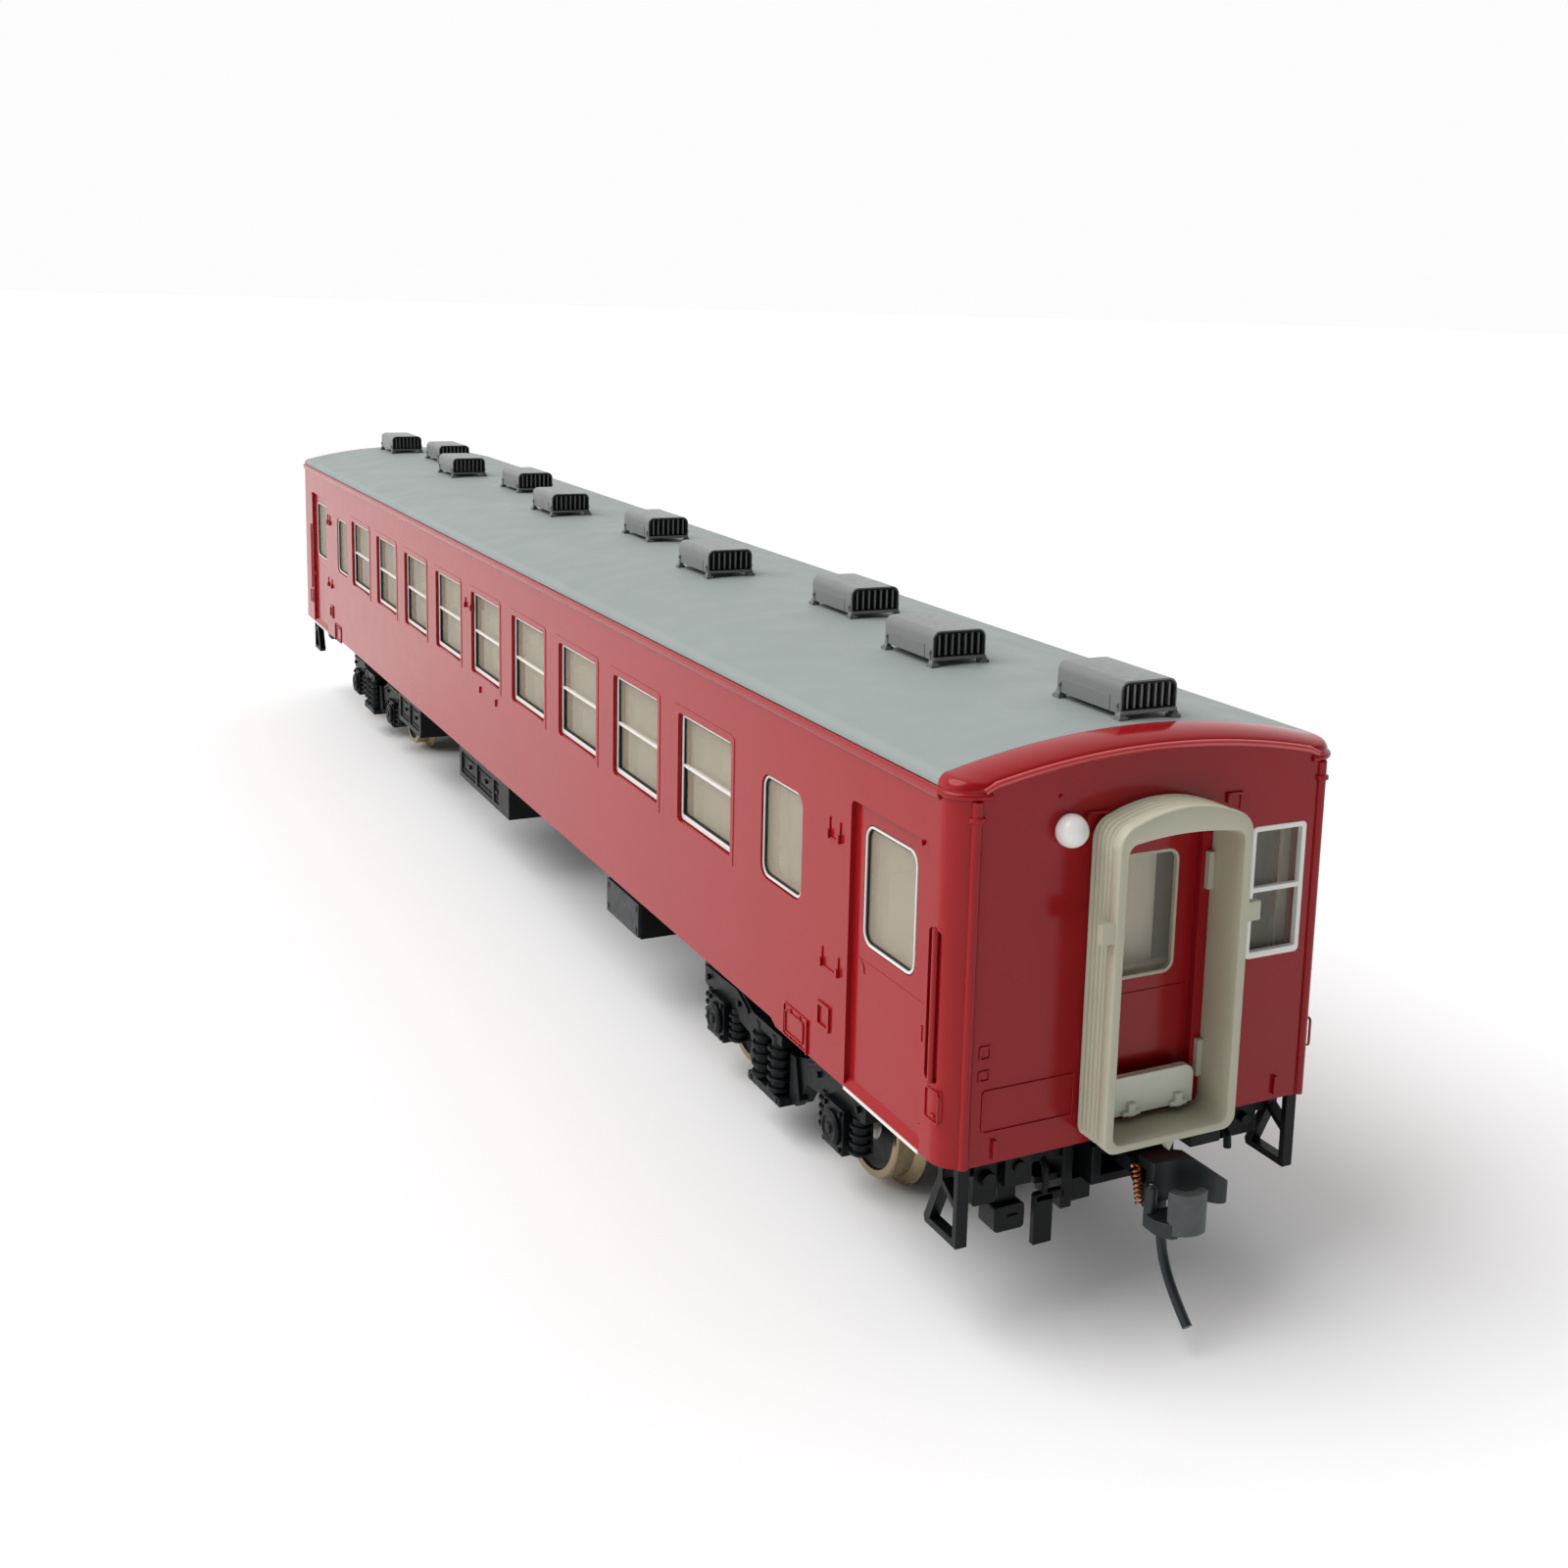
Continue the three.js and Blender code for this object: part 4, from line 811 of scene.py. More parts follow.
def gangway_outline(half, low, high, arch, corner, top_corner, steps=8):
    """Straight sides, rounded corners and a gently arched top."""
    points = arc(half - corner, low + corner, corner, -90, 90, steps)
    points += arc(half - top_corner, high - arch - top_corner, top_corner, 0, 78, steps)
    y1, z1 = points[-1]
    for i in range(1, 9):
        y = y1 * (1 - i / 8)
        points.append((y, high - (high - z1) * (y / y1) ** 2))
    return points + [(-y, z) for y, z in reversed(points[:-1])]


FOLDS = 5


def gangway():
    """Finely ridged bellows behind a flat frame, with a catch on each side and a pointer under the middle."""
    def passage(grow=0.0):
        return gangway_outline(PASSAGE.half + grow, PASSAGE.low - grow, PASSAGE.high + grow, PASSAGE.arch,
                               0.8 + grow, 0.9 + grow)

    def outside(grow):
        return gangway_outline(GANGWAY.bellows + grow, GANGWAY.low + 0.15 - grow, GANGWAY.high - 0.15 + grow,
                               GANGWAY.arch, 1.0, 1.9)

    back, front = END_X + 0.03, END_X + GANGWAY.depth
    frame_back = front - 1.15
    pitch = (frame_back - back) / FOLDS
    ridge = [(0, -0.14), (0.2, 0.04), (0.5, 0.1), (0.8, 0.04)]
    sections = [(back + i * pitch + share * pitch, outside(grow), passage())
                for i in range(FOLDS) for share, grow in ridge]
    sections.append((frame_back, outside(-0.14), passage()))
    half, low, high, arch = GANGWAY.half, GANGWAY.low, GANGWAY.high, GANGWAY.arch
    sizes = [(frame_back + 0.01, -0.1, 0.0), (frame_back + 0.1, 0.0, 0.0), (front - 0.14, 0.0, 0.0),
             (front - 0.04, -0.05, 0.03), (front, -0.14, 0.1)]
    sections += [(x, gangway_outline(half + grow, low - grow, high + grow, arch, 1.1, 2.0), passage(flare))
                 for x, grow, flare in sizes]
    parts = [shell_of(sections)]
    for side in (-1, 1):
        y = span(side, half - 0.3, half + 1.15)
        parts.append(block((front - 0.75, front - 0.12), y, (17.25, 18.75)))
        parts.append(block((frame_back - 0.2, front - 0.3), span(side, half - 0.3, half + 0.45), (17.4, 18.6)))
    notch = [(-0.6, low + 0.3), (0, low - 0.7), (0.6, low + 0.3)]
    parts.append(prism("x", notch, (frame_back + 0.3, front - 0.12)))
    return merge(*parts)


def footplate():
    """A plate standing on its hinge, with two barrels at its foot and two clips on its front."""
    half, thickness, hinge, top = FOOTPLATE.half, FOOTPLATE.thickness, FOOTPLATE.hinge, FOOTPLATE.top
    x = (HINGE_X - thickness / 2, HINGE_X + thickness / 2)
    parts = [prism("x", round_topped(0, 2 * half, hinge - thickness / 2, top, 0.9, 6), x)]
    for y in (-2.3, 2.1):
        parts.append(rod("y", 0.42, (y, y + 1.1), (HINGE_X, hinge), 16))
        parts.append(block((x[1] - 0.05, x[1] + 0.38), (y + 0.2, y + 0.9), (hinge - 0.35, hinge + 0.7)))
        parts.append(rod("y", 0.2, (y - 0.25, y + 1.35), (x[1] + 0.2, hinge - 0.1), 12))
    return merge(*parts)


def hinge_lugs():
    x, z = (DOOR_FLOOR - 0.1, END_X - 0.2), about(FOOTPLATE.hinge, 0.45)
    return merge(*[block(x, (y, y + 0.7), z) for y in (-3.4, 1.0)])


END_PIECES = [
    ("end_mouldings", end_mouldings(), RED, "red_shell", 0.04, 35),
    # the bead's lighter red is a painted highlight
    ("dome_bead", dome_bead(), RED_BEAD_HIGHLIGHT, "red_shell", 0, 60),
    ("end_frames", end_frames(), WHITE, "marker_white", 0.06, 35),
    ("door_frame", door_frame(), GANGWAY_GREY, "gangway_grey", 0.05, 35),
    ("end_panes", end_panes(), END_GLASS, "glazing", 0, 35),
    ("bellows", gangway(), GANGWAY_GREY, "gangway_grey", 0, 50),
    ("hinge_lugs", hinge_lugs(), PLATE_GREY, "footplate_grey", 0.08, 35),
]
STANDS_FOR = {"end_panes": "end_glazing", "bellows": "gangway"}
for place, turn in ENDS.items():
    for name, solid, material, slot, bevel, smooth in END_PIECES:
        replaced = [f"{STANDS_FOR[name]}_{place}"] if name in STANDS_FOR else []
        piece(f"{name}_{place}", solid, material, slot, replaced, turn=turn, bevel=bevel, smooth=smooth)
    piece(f"fall_plate_{place}", footplate(), PLATE_GREY, "footplate_grey", [f"footplate_{place}"],
          f"{place}_footplate", turn, bevel=0.09)


def marker():
    low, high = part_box("marker_lens")
    centre = ((low[1] + high[1]) / 2 / MM, (low[2] + high[2]) / 2 / MM - BODY_BOTTOM)
    radius, back, front = (high[1] - low[1]) / 2 / MM, END_X + 0.02, high[0] / MM
    waist = back + 0.5
    profile = [(0, back), (radius - 0.2, back), (radius - 0.05, back + 0.2), (radius, waist)]
    for i in range(1, 11):
        angle = math.radians(9 * i)
        profile.append((radius * math.cos(angle), waist + (front - waist) * math.sin(angle)))
    return turned("x", profile, centre, 40)


piece("marker_dome", marker(), WHITE, "marker_white", ["marker_lens"], smooth=50)

# ---------- underframe and what hangs from it ----------

BOLSTER_HOLE = 1.5


def end_gear():
    """Moulded sockets, pipes and brackets under one end beam."""
    parts = [block((117.4, 119.4), span(side, 4.4, 14.4), (-2.2, 0.5)) for side in (-1, 1)]
    parts += [
        block((116.4, 119.9), (-13.6, -11.6), (-4.4, 0.1)), block((117, 120.4), (-11.2, -8.8), (-3.2, 0.1)),
        prism("x", rounded_rect(-10.25, 2.7, -7.1, -5.0, 0.35, 4), (117.4, 119.8)),
        block((117.6, 119.2), (-11, -9.4), (-5.2, -1)), block((119.2, 119.8), (-8, -6.3), (-8.9, -4.8)),
        block((119.2, 119.8), (-7.9, -5.3), (-5.4, -4.7)), block((117, 119.3), (-7.8, -5.3), (-4.1, -3.5)),
        block((116, 119.8), (-5.6, -4.6), (-6.4, 0.1)), block((117, 119.4), (-5, -2.6), (-6.2, -4.3)),
        block((116, 119), (10.2, 14), (-4.2, 0.1)), block((117, 120.2), (6.4, 9.4), (-3.6, 0.1)),
        rod("x", 0.62, (119.7, 120.55), (-12.6, -2.2), 20), rod("x", 0.5, (120.2, 120.7), (-10.0, -1.6), 20),
        block((119.7, 119.95), (-10.4, -9.5), (-6.1, -5.8)),
        rod("x", 0.45, (119.1, 120.0), (12.2, -2.4), 16), rod("x", 0.4, (120.1, 120.4), (7.9, -1.9), 16),
        sweep([(119.2, -7.1, -2.0), (119.7, -7.1, -2.6), (119.8, -7.1, -4.0), (119.3, -7.1, -5.4)], 0.3, 10),
        sweep([(118.8, 10.8, -3.2), (119.4, 10.8, -3.8), (119.5, 10.8, -4.8)], 0.35, 10),
    ]
    return merge(*parts)


def underframe():
    parts = [block((-120, 120), (-15.3, 15.3), (0.3, 1.6)), block((-68, 68), (-2.2, 2.2), (-1.9, 0.6))]
    parts += [block((-113, 113), span(side, 13.2, 14.2), (-1.4, 0.6)) for side in (-1, 1)]
    parts += [block(about(x, 0.6), (-13.5, 13.5), (-1.2, 0.6)) for x in (-66, -30, 0, 30, 66)]
    boss = [(BOLSTER_HOLE, -3.6), (2.4, -3.6), (2.6, -3.4), (2.6, 0.5), (BOLSTER_HOLE, 0.5)]
    for x in (-BOGIE_CENTRE, BOGIE_CENTRE):
        parts += [block(about(x, 3.2), (-10, 10), (-1.3, 0.6)), turned("z", boss, (x, 0), 32)]
    gear = end_gear()
    parts += [gear, ([(-x, -y, z) for x, y, z in gear[0]], gear[1])]
    return merge(*parts)


def corner_step(side):
    outer = [(121.5, -0.05), (120.9, -0.05), (120.9, -2.9), (119.2, -1.9), (119.2, -0.05), (118.5, -0.05),
             (118.5, -1.9), (116.6, -6), (116.8, -6.5), (121.5, -6.5)]
    hole = [(120.9, -3.5), (119.1, -2.4), (117.5, -5.9), (120.9, -5.9)]
    frame_part = carved(prism("y", outer, span(side, 15, 16)), [prism("y", hole, (-20, 20))])
    tread = block((116.9, 121.4), span(side, 15.02, 15.98), (-6.48, -6.0))
    ribs = [block((117.3 + 0.5 * i, 117.5 + 0.5 * i), span(side, 15.05, 15.95), (-6.05, -5.9)) for i in range(8)]
    return merge(frame_part, tread, *ribs)


def side_box(x, side, near, far, bottom, panels):
    """An equipment box: recessed doors in its outer face, each with two ribs and a handle, and a foot under each end.
    """
    top = -1.7
    shell = block(x, span(side, near, far), (bottom, top))
    cutters = [block(panel, span(side, far - 0.3, far + 1), (bottom + 0.8, top - 0.7)) for panel in panels]
    parts = [carved(shell, cutters)]
    for left, right in panels:
        face = span(side, far - 0.4, far - 0.12)
        for z in (bottom + 1.25, top - 1.3):
            parts.append(block((left + 0.2, right - 0.2), face, about(z, 0.1)))
        parts.append(block(((left + right) / 2 - 0.5, (left + right) / 2 + 0.5), span(side, far - 0.4, far + 0.02),
                           ((bottom + top) / 2 - 0.2, (bottom + top) / 2 + 0.25)))
    feet = [block(about(foot, 0.2), span(side, far - 0.6, far - 0.1), (bottom - 0.02, bottom + 0.4))
            for foot in (x[0] + 0.5, x[1] - 0.5)]
    return merge(*parts, *feet)


BATTERY = Sizes(x=(42.7, 53), z=(-5.8, -1.7), far=15.5)


def battery_box():
    """The body of the battery box, with a latch at each corner of its face."""
    (left, right), (bottom, top), far = BATTERY.x, BATTERY.z, BATTERY.far
    latches = [block(about(x, 0.28), (-far - 0.06, -far + 0.3), about(z, 0.36))
               for x in (left + 0.75, right - 0.75) for z in (bottom + 0.85, top - 0.85)]
    return merge(block((left, right), (-far + 0.25, -8), (bottom, top)), *latches)


def battery_face():
    (left, right), (bottom, top), far = BATTERY.x, BATTERY.z, BATTERY.far
    return prism("y", rounded_rect((left + right) / 2, right - left - 0.3, bottom + 0.15, top - 0.15, 0.2, 3),
                 (-far, -far + 0.3))


def air_tank():
    profile = [(0, -19.0), (1.2, -18.92), (2.1, -18.6), (2.7, -17.9), (2.9, -17.2), (2.9, 1.2), (2.7, 1.9),
               (2.1, 2.6), (1.2, 2.92), (0, 3.0)]
    parts = [turned("x", profile, (9, -4.7), 36)]
    for x in (-15, -3):
        band = [(2.85, x - 0.45), (2.9, x - 0.45), (2.9, x + 0.45), (2.85, x + 0.45)]
        parts += [turned("x", band, (9, -4.7), 36), block(about(x, 0.5), (7.4, 10.6), (-4, 0.0))]
    return merge(*parts)


def brake_cylinder():
    body = [(0, -58), (1.9, -58), (2.2, -57.6), (2.2, -50.5), (2.7, -50.5), (2.7, -49.7), (2.5, -49.6), (0, -49.6)]
    return merge(turned("x", body, (6, -3.2), 32), rod("x", 0.5, (-50, -42), (6, -3.2), 16),
                 block((-57, -51), (4.8, 7.2), (-2.4, 0)))


def ballast():
    plate = block((-62, 62), (-11, 11), (1.9, 3.5))
    return carved(plate, [rod("z", 1.5, (0, 9), (x, 0), 24) for x in (-50, 50)])


def interior():
    """The saloon: floor, seats back to back either side of the aisle and a wall towards each end."""
    parts = [block((-116, 116), (-14.4, 14.4), (3.8, 4.6))]
    for i in range(8):
        x = WINDOWS[0] - (i + 0.5) * WINDOW_PITCH
        for side in (-1, 1):
            half = [(5.6, 4.5), (5.6, 7.3), (5.3, 7.6), (1, 7.4), (0.8, 14.1), (0.5, 14.4)]
            left = [(x - a, z) for a, z in reversed(half)]
            outline = [left[-1], *[(x + a, z) for a, z in half], *left[:-1]]
            parts.append(prism("y", outline, span(side, 4.2, 14)))
    walls = [((-14, -4), (4.5, 26)), ((4, 14), (4.5, 26)), ((-14, 14), (24, 26))]
    return merge(*parts, *[block((x, x + 1), y, z) for x in (-97.5, 86.5) for y, z in walls])


def vestibule():
    """What shows through the glass of an end: pale walls and, under the door's window, a sill."""
    x = END_X - 3.4
    sill = block((x, x + 1.2), (-4.2, 4.2), (8.6, 12.4))
    return merge(block((x, x + 0.4), (-6, 2.4), (4.7, 25.5)), block((x, x + 0.4), (14.9, 15.9), (4.7, 25.5)), sill)


def vestibule_posts():
    """The dark posts behind the glass of an end."""
    x = END_X - 3.8
    return merge(block((x, x + 0.5), (2.0, 5.6), (4.7, 25.5)), block((x - 1, x - 0.5), (5.2, 15.2), (4.7, 25.5)))


for place, turn in ENDS.items():
    piece(f"lobby_wall_{place}", vestibule(), CREAM, "interior_cream", turn=turn, bevel=0.08)
    piece(f"lobby_posts_{place}", vestibule_posts(), DUSK, "interior_cream", turn=turn, bevel=0.08)

UNDERFLOOR = [
    ("frame_under", underframe(), BLACK, "underframe_black", ["underframe"], 0.08),
    ("weight_plate", ballast(), STEEL, "weight_steel", ["ballast_weight"], 0.08),
    ("saloon", interior(), CREAM, "interior_cream", ["interior"], 0.1),
    ("cells_box", battery_box(), BLACK, "underframe_black", ["battery_box"], 0.1),
    ("cells_face", battery_face(), SLATE, "underframe_black", [], 0.08),
    ("machine_box", side_box((-20.5, 3.8), -1, 8, 15.2, -6.2, [(-19.4, -12.2), (-11.4, -4.2), (-3.2, -1)]), BLACK,
     "underframe_black", ["equipment_box"], 0.12),
    ("relay_box", side_box((-58, -44), -1, 8, 15, -6.4, [(-57, -51.3), (-50.7, -45)]), BLACK, "underframe_black",
     ["control_box"], 0.12),
    ("water_box", side_box((34, 54), 1, 8.5, 15.2, -6, [(35, 43.6), (44.4, 53)]), BLACK, "underframe_black",
     ["water_tank"], 0.12),
    ("reservoir", air_tank(), BLACK, "underframe_black", ["air_tank"], 0),
    ("cylinder", brake_cylinder(), BLACK, "underframe_black", ["brake_cylinder"], 0),
]
for name, solid, material, slot, replaced, bevel in UNDERFLOOR:
    piece(name, solid, material, slot, replaced, bevel=bevel)

# ---------- couplers ----------


def coupler_box():
    """A box with an open mouth, a rounded lid edge and a screw, holding the shank's pivot post."""
    hollow = block((114.3, 123), (-3.0, 3.0), (-3.35, -1.65))
    shell = carved(block((113.5, 121.3), (-3.9, 3.9), (-4.1, -0.9)), [hollow])
    return merge(shell, rod("z", 0.7, (-3.55, -1.45), (116.5, 0), 20), rod("z", 1.1, (-4.1, -3.9), (116.5, 0), 20))


def coupler_head():
    """Shank, head and guard arm. The arm's wing reaches out to +Y and slopes down to its tip."""
    head = [(123.4, -1.1), (124.4, -1.1), (125.2, -0.9), (125.3, 0.2), (125.38, 0.8), (125.6, 1.3), (126.2, 2.3),
            (127.2, 3.3), (127.5, 3.65), (127.6, 4.0), (127.52, 4.3), (127.3, 4.5), (126.3, 4.4), (124.7, 3.1),
            (123.9, 1.9), (123.4, 1.1)]
    slope = [(2.2, -1.0), (5, -3), (5, 0), (2.2, 0)]
    arm = carved(prism("z", head, (-4.3, -1.1)), [prism("x", slope, (123, 129))])
    eye = turned("z", [(0.9, -3.1), (1.9, -3.1), (1.9, -1.9), (0.9, -1.9)], (116.5, 0), 32)
    neck = [(122.4, -1.1), (123.5, -1.5), (123.5, 1.5), (122.4, 1.1)]
    return merge(eye, block((118.2, 124.6), (-1.1, 1.1), (-3.1, -1.9)), arm, prism("z", neck, (-3.3, -1.75)),
                 block((123.8, 125), (-0.9, 0.6), (-5.2, -4.2)))


KNUCKLE_AT = (125.7, -1.5)


def from_pivot(outline):
    return [(KNUCKLE_AT[0] + a, KNUCKLE_AT[1] + b) for a, b in outline]


def knuckle_foot():
    """The drum on the pivot, and the low arm and foot that carry the nose and the trip pin."""
    foot = [(-0.1, -0.5), (1.3, -0.5), (1.9, -0.2), (2.5, 0.2), (2.6, 0.8), (1.1, 1.1), (0.9, 2.1), (-0.1, 2.1)]
    drum = [(0, -5.78), (0.5, -5.78), (0.5, -2.6), (0.35, -2.4), (0, -2.4)]
    return merge(turned("z", drum, KNUCKLE_AT, 24), prism("z", from_pivot(foot), (-5.8, -4.6)))


def knuckle_nose():
    """The curved jaw that closes the mouth."""
    nose = [(1.9, 0.1), (2.3, 0.17), (2.6, 0.3), (2.88, 0.65), (3.1, 1.1), (3.24, 1.55), (3.3, 2.0), (3.24, 2.5),
            (3.1, 2.9), (2.88, 3.08), (2.6, 3.1), (2.38, 2.95), (2.3, 2.7), (2.46, 2.3), (2.5, 1.9), (2.4, 1.45),
            (2.2, 1.1), (1.6, 0.8)]
    return prism("z", from_pivot(nose), (-5.5, -2.1))


def trip_pin():
    """A bent wire that hangs from the knuckle's foot."""
    corners = [(126.08, -5.85), (126.22, -6.6), (126.4, -7.4), (126.72, -8.2), (127.1, -8.9), (127.6, -9.62),
               (128.2, -10.3), (129.05, -11.15), (130.0, -12.0)]
    return sweep([(x, -0.7, z) for x, z in corners], 0.4, 16)


def spring():
    return coil((124.1, -1.85, -1.6), (124.6, -1.65, -4.4), 0.3, 0.11, 8)


COUPLER_PIECES = [
    ("head", coupler_head(), CASTING, "coupler_head", "coupler", 0.12),
    ("foot", knuckle_foot(), CASTING, "knuckle", "knuckle", 0.1),
    ("nose", knuckle_nose(), KNUCKLE_FACE, None, "knuckle", 0.12),
    ("wire", trip_pin(), CASTING, "trip_pin", "knuckle", 0),
    ("rivet", rod("z", 0.22, (-2.45, -2.3), KNUCKLE_AT, 16), STEEL, None, "knuckle", 0),
    ("spring", spring(), COPPER, "knuckle_spring", "coupler", 0),
]
for place, turn in ENDS.items():
    for name, side in SIDES.items():
        piece(f"tread_{place}_{name}", corner_step(side), BLACK, "underframe_black",
              [f"step_{place}_{name}"], turn=turn, bevel=0.08)
    piece(f"draft_box_{place}", coupler_box(), BLACK, "underframe_black", [f"coupler_box_{place}"], turn=turn,
          bevel=0.2)
    for name, solid, material, node, part, bevel in COUPLER_PIECES:
        slot = "spring_copper" if name == "spring" else "coupler_metal"
        piece(f"{name}_{place}", solid, material, slot, [f"{node}_{place}"] if node else [], f"{place}_{part}", turn,
              bevel=bevel)

# ---------- bogies, drawn from the bottom of the flanges ----------


def side_frame(side):
    """One cast side frame: its arms, coil springs, axle-box covers, bolts and spring plank."""
    inner, outer = 11.3, 12.9
    half = [(4.6, 4.4), (6.4, 7), (9.8, 7.4), (9.8, 4.6), (10.6, 4.6), (10.6, 8), (15.6, 8), (15.6, 4.6), (16.4, 4.6),
            (16.4, 7.8), (17.8, 8.2), (17.8, 10.6), (9.4, 10.9), (6.4, 9.6), (4.6, 9)]
    outline = half + [(-x, z) for x, z in reversed(half)]
    parts = [prism("y", outline, span(side, inner, outer))]
    for end in (-1, 1):
        axle = end * HALF_WHEELBASE
        parts.append(block(about(axle, 1.9), span(side, inner, outer + 0.7), (AXLE_Z - 2, AXLE_Z + 2.2)))
        rings = [(0, 0.6), (1.55, 0.6), (1.6, 0.75), (1.6, 1.0), (1.35, 1.2), (1.1, 1.2), (1.0, 1.05), (0.55, 1.05),
                 (0.45, 1.28), (0, 1.3)]
        parts.append(turned("y", [(r, side * (outer + y)) for r, y in rings], (axle, AXLE_Z), 32))
        bolt = span(side, outer + 0.5, outer + 0.95)
        parts += [rod("y", 0.24, bolt, (axle + x, AXLE_Z + z), 12) for x in (-1.45, 1.45) for z in (-1.55, 1.75)]
        for reach in (-3.0, 3.0):
            x = axle + reach
            parts.append(rod("z", 0.75, (4.7, 8.1), (x, side * (outer - 0.5)), 16))
            for k in range(4):
                z = 5.0 + 0.8 * k
                ridge = [(0.6, z - 0.2), (0.98, z - 0.12), (0.98, z + 0.12), (0.6, z + 0.2)]
                parts.append(turned("z", ridge, (x, side * (outer - 0.45)), 20))
        ribs = [(end * 6.6, 9.35), (end * 9.3, 10.45), (end * 17.4, 10.2), (end * 17.4, 9.9), (end * 9.3, 10.05),
                (end * 6.6, 8.9)]
        parts.append(prism("y", ribs, span(side, outer - 0.2, outer + 0.22)))
        bolt = span(side, outer - 0.1, outer + 0.35)
        parts += [rod("y", 0.3, bolt, (end * x, 9.1), 12) for x in (8.9, 16.6)]
        arm = [(end * 3.4, 9.0), (end * 4.6, 9.0), (end * 5.6, 5.2), (end * 4.9, 4.4), (end * 3.4, 4.4)]
        parts.append(prism("y", arm, span(side, outer - 0.6, outer + 0.35)))
    for x in (-1.8, 1.8):
        parts.append(rod("z", 0.9, (4.5, 10.2), (x, side * (outer + 0.45)), 20))
        for k in range(5):
            z = 5.1 + 0.95 * k
            ridge = [(0.8, z - 0.26), (1.25, z - 0.16), (1.3, z), (1.25, z + 0.16), (0.8, z + 0.26)]
            parts.append(turned("z", ridge, (x, side * (outer + 0.45)), 24))
    bolts = [rod("y", 0.26, span(side, outer + 1.3, outer + 1.5), (x, 4.3), 12) for x in (-2.9, 2.9)]
    return merge(*parts, *bolts, block((-3.6, 3.6), span(side, inner, outer + 1.4), (3.9, 4.7)),
                 block((-3.4, 3.4), span(side, inner, outer + 1.2), (9.6, 10.6)))


def bogie_frame():
    low, high = 8.6, 10.6
    hole = rod("z", BOLSTER_HOLE, (low - 1, high + 1), (0, 0), 32)
    parts = [side_frame(-1), side_frame(1), carved(block((-4.4, 4.4), (-12, 12), (low, high)), [hole])]
    for side in (-1, 1):
        for end in (-1, 1):
            parts += [block(span(end, 4.2, 6.2), span(side, 7.9, 9.3), (low, high - 0.4)),
                      block(span(end, 5.5, 6.6), span(side, 7.7, 9.5), (5, high - 0.4))]
    return merge(*parts)


def axle(x):
    """A shaft with pointed journals and a bright hub in the face of each wheel."""
    half = [(1.0, 0), (1.0, 9.3), (1.8, 9.3), (1.8, 9.75), (1.65, 9.88), (0.95, 9.88), (0.95, 10.7), (0.6, 10.7),
            (0.6, 11.8), (0.3, 12.1), (0, 12.3)]
    return turned("y", [(r, -y) for r, y in reversed(half)] + half[1:], (x, AXLE_Z), 32)


WHEEL_BACK = 7.2
WHEEL_FACE = 10.0


def tyre(x, side):
    """A flanged tyre with a rounded flange and a coned tread."""
    flange = WHEEL_RADIUS + FLANGE
    profile = [(4.3, WHEEL_BACK), (flange - 0.25, WHEEL_BACK), (flange - 0.06, WHEEL_BACK + 0.12),
               (flange, WHEEL_BACK + 0.26), (flange - 0.12, WHEEL_BACK + 0.42),
               (WHEEL_RADIUS + 0.3, WHEEL_BACK + 0.68), (WHEEL_RADIUS, WHEEL_BACK + 0.95),
               (WHEEL_RADIUS - 0.1, WHEEL_FACE - 0.15),
               (WHEEL_RADIUS - 0.22, WHEEL_FACE), (4.4, WHEEL_FACE), (4.3, WHEEL_FACE - 0.3), (4.3, WHEEL_BACK)]
    return turned("y", [(radius, side * y) for radius, y in profile], (x, AXLE_Z), 64)


def web(x, side):
    """The dark dished plate between a tyre and its axle."""
    profile = [(0.98, WHEEL_BACK), (4.32, WHEEL_BACK), (4.32, WHEEL_FACE - 0.3), (3.9, WHEEL_FACE - 0.55),
               (2.4, WHEEL_FACE - 0.55), (1.9, WHEEL_FACE - 0.3), (0.98, WHEEL_FACE - 0.3), (0.98, WHEEL_BACK)]
    return turned("y", [(radius, side * y) for radius, y in profile], (x, AXLE_Z), 48)


def screw():
    profile = [(0, 7.5), (1.7, 7.5), (2.0, 7.62), (2.1, 7.85), (2.1, 8.3), (1.2, 8.3), (1.2, 16.1), (0, 16.1)]
    return carved(turned("z", profile, (0, 0), 32), [block((-3, 3), (-0.3, 0.3), (6.5, 7.85))])


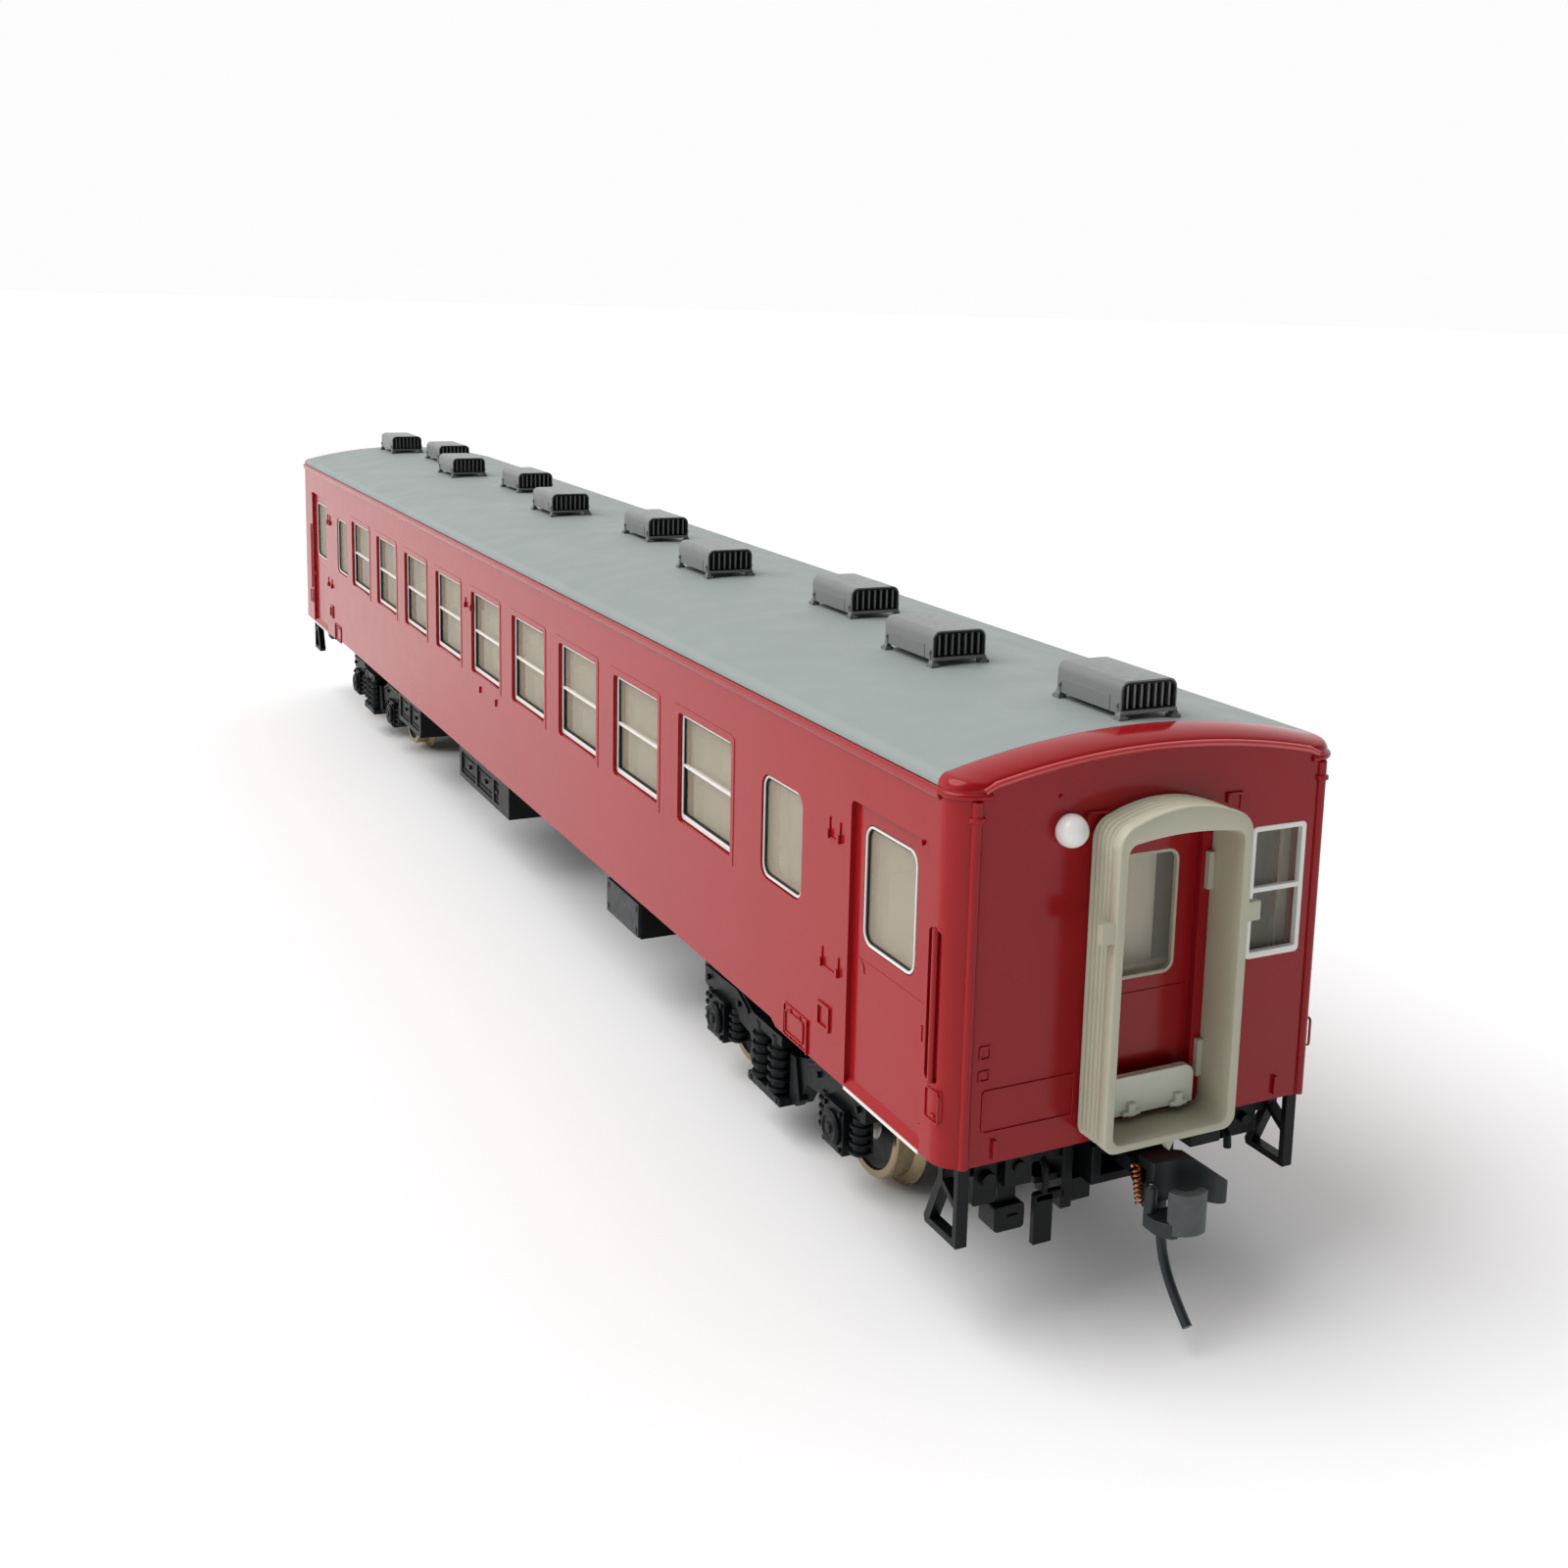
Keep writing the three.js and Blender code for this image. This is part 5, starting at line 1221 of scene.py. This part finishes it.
for place, turn in ENDS.items():
    x = BOGIE_CENTRE if place == "front" else -BOGIE_CENTRE
    at = {"turn": turn, "lift": 0.0, "move": (x, 0)}
    piece(f"truck_{place}", bogie_frame(), BLACK, "underframe_black", [f"bogie_frame_{place}"],
          f"{place}_bogie", bevel=0.07, **at)
    piece(f"king_screw_{place}", screw(), STEEL, "screw_steel", [f"bogie_screw_{place}"], bevel=0.05, **at)
    for which, offset in (("outer", HALF_WHEELBASE), ("inner", -HALF_WHEELBASE)):
        body = f"{place}_{which}_wheelset"
        piece(f"axle_bar_{place}_{which}", axle(offset), STEEL, "axle_steel", [f"axle_{place}_{which}"], body, **at)
        for name, side in SIDES.items():
            piece(f"tyre_{place}_{which}_{name}", tyre(offset, side), RIM, "wheel_metal",
                  [f"wheel_{place}_{which}_{name}"], body, smooth=30, **at)
            piece(f"web_{place}_{which}_{name}", web(offset, side), BLACK, "wheel_metal", [], body, smooth=30, **at)

# ---------- studio ----------


def sun(name, azimuth, elevation, strength, softness):
    """A broad soft light from far away, given by where it stands."""
    data = bpy.data.lights.new(name, "SUN")
    data.energy = strength
    data.angle = math.radians(softness)
    light = add_object(name, data)
    light.rotation_euler = (math.radians(90 - elevation), 0, math.radians(azimuth + 90))


def studio_world():
    """Bright all round except in front of the coach, with a plain pale backdrop."""
    world = bpy.data.worlds.new("studio")
    world.use_nodes = True
    tree = world.node_tree
    direction = tree.nodes.new("ShaderNodeTexCoord").outputs["Generated"]
    split = tree.nodes.new("ShaderNodeSeparateXYZ")
    tree.links.new(direction, split.inputs["Vector"])
    shade = node_of(tree, "ShaderNodeMapRange", From_Min=-0.1, From_Max=0.6, To_Min=1.0, To_Max=0.09)
    tree.links.new(split.outputs["X"], shade.inputs["Value"])
    pick = tree.nodes.new("ShaderNodeMix")
    pick.inputs["B"].default_value = 0.98
    tree.links.new(tree.nodes.new("ShaderNodeLightPath").outputs["Is Camera Ray"], pick.inputs["Factor"])
    tree.links.new(shade.outputs["Result"], pick.inputs["A"])
    background = tree.nodes["Background"]
    background.inputs["Color"].default_value = (1, 1, 1, 1)
    tree.links.new(pick.outputs["Result"], background.inputs["Strength"])
    bpy.context.scene.world = world


studio_world()
sun("key", -110, 52, 2.1, 50)

paper = finish("floor_white", (246, 246, 246), 0.8, tint=0.004, patch=6, grain=900, bump=0.02, specular=0.1)
corners = [(-6000, -6000), (6000, -6000), (6000, 6000), (-6000, 6000)]
floor = add_object("floor", to_mesh("floor", ([(x * MM, y * MM, 0.0) for x, y in corners], [(0, 1, 2, 3)])))
floor.data.materials.append(paper)

bpy.context.scene.view_settings.view_transform = "Standard"
